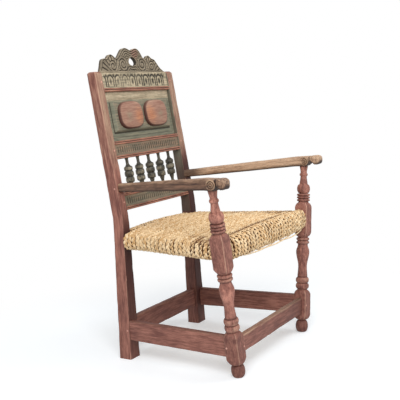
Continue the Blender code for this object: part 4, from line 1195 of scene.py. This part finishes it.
def plait(name, route, middle_of, node, gloom):
    """A three-strand plait along a route.

    middle_of gives the inside that it is wound round, and gloom the painted shade in the slits beside
    it: a share that comes and goes along the rope, and a steady one. The rope is drawn thinner where
    that shade is heavy.
    """
    path, along = resample(route, PLAIT_STEP)
    for _ in range(2):
        path[1:-1] = (path[:-2] + 2 * path[1:-1] + path[2:]) / 4
    tangent = unit(np.gradient(path, axis=0))
    outward = square_to(tangent, path - middle_of(path))
    across = np.cross(tangent, outward)
    phase = 2 * math.pi * along / PLAIT_PITCH + 2.5 * drifting(along, 2.2, 0.3)
    slack = drifting(along, 9, 4.3)
    uneven, steady = gloom(path)
    dark = uneven * np.clip(0.8 + 1.5 * drifting(along, 20, 2.9), 0.2, 1.6) + steady
    drawn = 1 - 0.3 * clamp(dark - 0.4)
    turns = 2 * math.pi * np.arange(STRAND_SIDES) / STRAND_SIDES
    cosines, sines = np.cos(turns), np.sin(turns)
    strand_size = len(path) * STRAND_SIDES
    vertices = []
    faces = []
    values = {"tone": [], "grain": [], "depth": []}
    for strand in range(3):
        angle = phase + 2 * math.pi * strand / 3
        swing = PLAIT_SWING * (1 + 0.18 * slack) * drawn * np.sin(angle)
        lift = PLAIT_LIFT * np.sin(2 * angle)
        centre = path + across * swing[:, None] + outward * lift[:, None]
        run = unit(np.gradient(centre, axis=0))
        normal = square_to(run, outward)
        thick = drifting(along, 30, strand * 5.1)
        half_width = STRAND_HALF_WIDTH * (1 + 0.25 * thick) * drawn
        half_thickness = STRAND_HALF_THICKNESS * (1 + 0.2 * thick)
        sideways = np.cross(run, normal)[:, None, :] * (half_width[:, None] * cosines)[:, :, None]
        upwards = normal[:, None, :] * (half_thickness[:, None] * sines)[:, :, None]
        vertices.append((centre[:, None, :] + sideways + upwards).reshape(-1, 3))
        faces += tube_faces(len(path), STRAND_SIDES, strand * strand_size)
        tones = 0.45 * drifting(along, 6, strand * 9.7) + 0.5 * drifting(along, 45, strand * 3.3) + 0.45
        values["tone"].append(np.repeat(tones, STRAND_SIDES))
        # Painted shade on each strand's underside and flanks, beside the slits and where it dips under
        # the others
        beside = np.abs(np.sin(angle)) ** 1.8 * np.minimum(dark, 0.85)
        low_strand = 0.6 * clamp(-lift / PLAIT_LIFT) + beside
        deep = clamp(low_strand[:, None] + 0.7 - 0.85 * sines[None, :])
        values["depth"].append(deep.ravel())
        lengthwise = np.repeat(along, STRAND_SIDES)
        crosswise = np.tile(cosines * STRAND_HALF_WIDTH, len(path)) + strand
        depthwise = np.tile(sines * STRAND_HALF_THICKNESS, len(path))
        values["grain"].append(np.stack([lengthwise, crosswise, depthwise], axis=1))
    joined = {key: np.concatenate(value) for key, value in values.items()}
    mesh = new_mesh(name, np.concatenate(vertices).tolist(), faces, joined)
    add_piece(mesh, STRAW, [node], 75)


def make_web():
    """Rope wound from side to side, which steps to its next turn on the underside."""
    low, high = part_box("seat_web")
    half = SEAT_RAIL_HALF + ROPE_FROM_RAIL
    first_y, last_y = low.y + ROPE_HALF / 4, high.y - ROPE_HALF
    pitch = (last_y - first_y) / (WEB_WRAPS - 1)
    around = [squared_turn(turn) for turn in np.linspace(-math.pi / 2, math.pi / 2, 13)]
    route = []
    for wrap in range(WEB_WRAPS):
        y = first_y + pitch * wrap + ROPE_SWAY * wave(wrap * 3.7, 1.0, 0.2)
        reach = side_line_x(y, SEAT_RAIL_HEIGHT)
        last_turns = max(0, (wrap - WEB_WRAPS + 4) / 3)
        bulge = SEAT_DENT * wave(wrap * 2.1, 5.0, 0.4) + REAR_BULGE * last_turns
        for out, up in around:
            route.append((reach + half * out + bulge, y, SEAT_RAIL_HEIGHT + half * up))
        for share in (0.85, 0.6, 0.3, 0.0, -0.3, -0.6, -0.85):
            crown = SEAT_CROWN * (1 - share**2)
            dent = SEAT_DENT * wave(wrap * 2.1, 5.0, share * 3)
            route.append((share * reach, y, SEAT_RAIL_HEIGHT + half + crown + dent))
        for out, up in reversed(around):
            route.append((-reach - half * out - bulge, y, SEAT_RAIL_HEIGHT + half * up))
        if wrap < WEB_WRAPS - 1:
            for share in (-0.6, 0.0, 0.6):
                step = pitch * (share + 1) / 2
                route.append((share * reach, y + step, SEAT_RAIL_HEIGHT - half))

    def inside(path):
        reach = side_line_x(path[:, 1], SEAT_RAIL_HEIGHT)
        x = np.clip(path[:, 0], -reach, reach)
        return np.column_stack([x, path[:, 1], np.full(len(path), SEAT_RAIL_HEIGHT)])

    def gloom(path):
        # Painted shade in the slits near the side rails and at the seam with the front winding
        from_seam = path[:, 1] - first_y
        from_rail = side_line_x(path[:, 1], SEAT_RAIL_HEIGHT) - np.abs(path[:, 0])
        near = 0.55 * clamp(2.5 - from_rail / 0.03) * clamp(1.25 - from_seam / 0.22)
        far = 0.6 * clamp(3.5 - from_rail / 0.03) * clamp(1.6 - from_seam / 0.25)
        spread = np.where(path[:, 0] > 0, far, near) * (path[:, 2] > SEAT_RAIL_HEIGHT - half / 2)
        return 0.24 + spread, 0.8 * clamp(1 - from_seam / 0.006)

    plait("seat_plait", route, inside, "seat_web", gloom)


def make_rail_winding(name, node, y, half_depth, half_height, wraps, end_x, drawn_in=0.0):
    """Rope wound on a rail along X between two faces, which steps to its next turn underneath.

    It rises in the middle, and its end turns are drawn in from the front.
    """
    deep = half_depth + ROPE_FROM_RAIL
    tall = half_height + ROPE_FROM_RAIL
    route = []
    for wrap in range(wraps):
        for i in range(STEPS_PER_WRAP):
            turn = -math.pi / 2 + 2 * math.pi * i / STEPS_PER_WRAP
            out, up = squared_turn(turn)
            z = SEAT_RAIL_HEIGHT + tall * up
            stepped = max(0, i / STEPS_PER_WRAP - 0.75) * 4
            share = 2 * (wrap + stepped * (wrap < wraps - 1)) / (wraps - 1) - 1
            uneven = ROPE_SWAY * wave(wrap * 1.7, 9.0, turn)
            x = share * (end_x(z) - ROPE_HALF)
            lift = WINDING_CROWN * (1 - share**2) * max(up, 0)
            forward = deep * out * (1 + uneven * 20) - drawn_in * abs(share) ** 6
            route.append((x + 0.8 * uneven, y - forward, z + uneven + lift))

    def inside(path):
        room = half_height * 0.8
        z = np.clip(path[:, 2], SEAT_RAIL_HEIGHT - room, SEAT_RAIL_HEIGHT + room)
        return np.column_stack([path[:, 0], np.full(len(path), y), z])

    def gloom(path):
        # Painted shade in the slits, heavier at the ends by the legs
        by_leg = (np.abs(path[:, 0]) / np.abs(path[:, 0]).max()) ** 12
        return 0.36 + 0.5 * by_leg, 0

    plait(name, route, inside, node, gloom)


def make_windings():
    front = (FRONT_Y - FRONT_RAIL_FORWARD, FRONT_RAIL_HALF_DEPTH, FRONT_RAIL_HALF_HEIGHT, FRONT_WRAPS)
    make_rail_winding("front_plait", "front_winding", *front, leg_face_x, FRONT_DRAWN_IN)
    low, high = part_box("rear_winding")
    rear = ((low.y + high.y) / 2, SEAT_RAIL_HALF, SEAT_RAIL_HALF, REAR_WRAPS)
    make_rail_winding("rear_plait", "rear_winding", *rear, lambda z: POST_INNER_X)


def make_loose_strands():
    """Thin strands that have come away under the front winding, each held in it at both ends."""
    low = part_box("front_winding")[0]
    for number, (start_x, end_x, drop, forward) in enumerate(LOOSE_STRANDS, 1):
        skin = Skin()
        for share in np.linspace(0, 1, 40):
            sway = ROPE_SWAY * wave(share * 9, number * 3.0, 0.5)
            hang = (drop + LOOSE_IN_ROPE) * (4 * share * (1 - share)) ** 0.6
            x = start_x + (end_x - start_x) * share
            y = low.y + LOOSE_BACK - forward * math.sin(math.pi * share) - sway
            z = low.z + LOOSE_IN_ROPE - hang + sway
            for dy, dz in skin.ring(circle(STRAND_SIDES, LOOSE_RADIUS)):
                # Painted shade on each strand's underside
                depth = 0.25 - 0.35 * dz / LOOSE_RADIUS
                skin.add((x, y + dy, z + dz), tone=0.8, depth=depth, grain=(x, dy, dz))
        add_piece(skin.mesh(f"loose_strand_{number}"), STRAW, [])


def dress_kept_nodes():
    """Gives the CAD nodes that stay in sight their finishes."""
    for name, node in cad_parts.items():
        if any(kind in name for kind in ("peg", "dowel", "seat_rail")):
            node.data.materials.clear()
            node.data.materials.append(PEG if "peg" in name else BARE)


# Stage


def seen_share(look):
    """1 for rays that show a surface itself: from the camera, in a reflection or through glass."""
    seen = 0.0
    for kind in ("Camera", "Glossy", "Transmission"):
        seen = look.math("MAXIMUM", seen, look.add("LightPath", {}, f"Is {kind} Ray"))
    return seen


def make_floor():
    """A pale floor that keeps the chair's shadow and fades to white around it."""
    look = Look(bpy.data.materials.new("pale_floor"))
    pale = (0.75, 0.79, 0.82, 1)
    look.dress({"Base Color": pale, "Roughness": 0.9, "Specular IOR Level": 0.0})
    seen = seen_share(look)
    place = look.add("NewGeometry", {}, "Position")
    away = look.add("VectorMath", {0: place}, "Value", operation="LENGTH")
    white = (1, 1, 1, 1)
    glow = look.add("Emission", {"Color": white, "Strength": look.math("MULTIPLY", seen, 0.33)})
    lit = look.add("AddShader", {0: look.shader.outputs[0], 1: glow})
    blank = look.add("Emission", {"Color": white, "Strength": 1.0})
    far = look.math("MULTIPLY", seen, look.span(away, *FLOOR_FADE))
    mixed = look.add("MixShader", {0: far, 1: lit, 2: blank})
    look.set(look.tree.nodes["Material Output"].inputs["Surface"], mixed)
    mesh = bpy.data.meshes.new("floor")
    corners = [(x * FLOOR_REACH, y * FLOOR_REACH, 0) for x, y in ((-1, -1), (1, -1), (1, 1), (-1, 1))]
    mesh.from_pydata(corners, [], [(0, 1, 2, 3)])
    mesh.materials.append(look.owner)
    floor = link("floor", mesh)


def make_surround():
    """Even light from all around, seen as white."""
    look = Look(bpy.data.worlds.new("studio"))
    bpy.context.scene.world = look.owner
    strength = look.add("MapRange", {"Value": seen_share(look), "To Min": 0.38, "To Max": 1.0})
    look.dress({"Color": (1, 1, 1, 1), "Strength": strength})


def add_lamp(name, place, target, size, power):
    lamp = bpy.data.lights.new(name, "AREA")
    lamp.size = size
    lamp.energy = power
    holder = link(name, lamp)
    holder.location = place
    holder.rotation_euler = (Vector(target) - Vector(place)).to_track_quat("-Z", "Y").to_euler()


def make_camera():
    data = bpy.data.cameras.new("camera")
    data.sensor_width = SENSOR_WIDTH
    data.lens = SENSOR_WIDTH * FOCAL_PIXELS / IMAGE_PIXELS
    camera = link("camera", data)
    matrix = Matrix.Translation(CAMERA_PLACE)
    for turn, axis in ((CAMERA_YAW, "Z"), (math.pi / 2 - CAMERA_PITCH, "X"), (CAMERA_ROLL, "Z")):
        matrix @= Matrix.Rotation(turn, 4, axis)
    camera.matrix_world = matrix
    bpy.context.scene.camera = camera


make_camera()
for number, (side, sign) in enumerate(SIDES.items()):
    make_post(side, sign)
    make_leg(side, sign)
    make_arm(side, sign)
    make_rosettes(side, sign)
    make_stretcher(side, 1, 20 + number, gloom=(0.18 * number, 0.18 * number))
    make_boss(side, sign)
make_stretcher("front", 0, 31, gloom=(0.2, 0.62), trim=0.003, worn_top=0.7)
make_stretcher("rear", 0, 37, gloom=(0.46, 0.46))
make_rail("top_rail", TONGUES, 1.1, mouldings=1, tan=0.55)
make_rail("middle_rail", FLUTES, 1.05, tan=0.1, brown=0.54)
make_rail("lower_rail", FLUTES, 1.0, brown=0.46, raised=0.005)
make_panel()
make_spindles()
make_crest()
make_web()
make_windings()
make_loose_strands()
dress_kept_nodes()
make_floor()
make_surround()
add_lamp("key", (-2.5, -1.7, 2.6), (0, 0, 0.5), 2.2, 100)
add_lamp("fill", (1.8, -2.4, 2.6), (0, 0, 0.5), 2.2, 37)
add_lamp("overhead", (0, 0.3, 3.2), (0, 0, 0), 1.8, 18)
bpy.context.scene.view_settings.view_transform = "Standard"
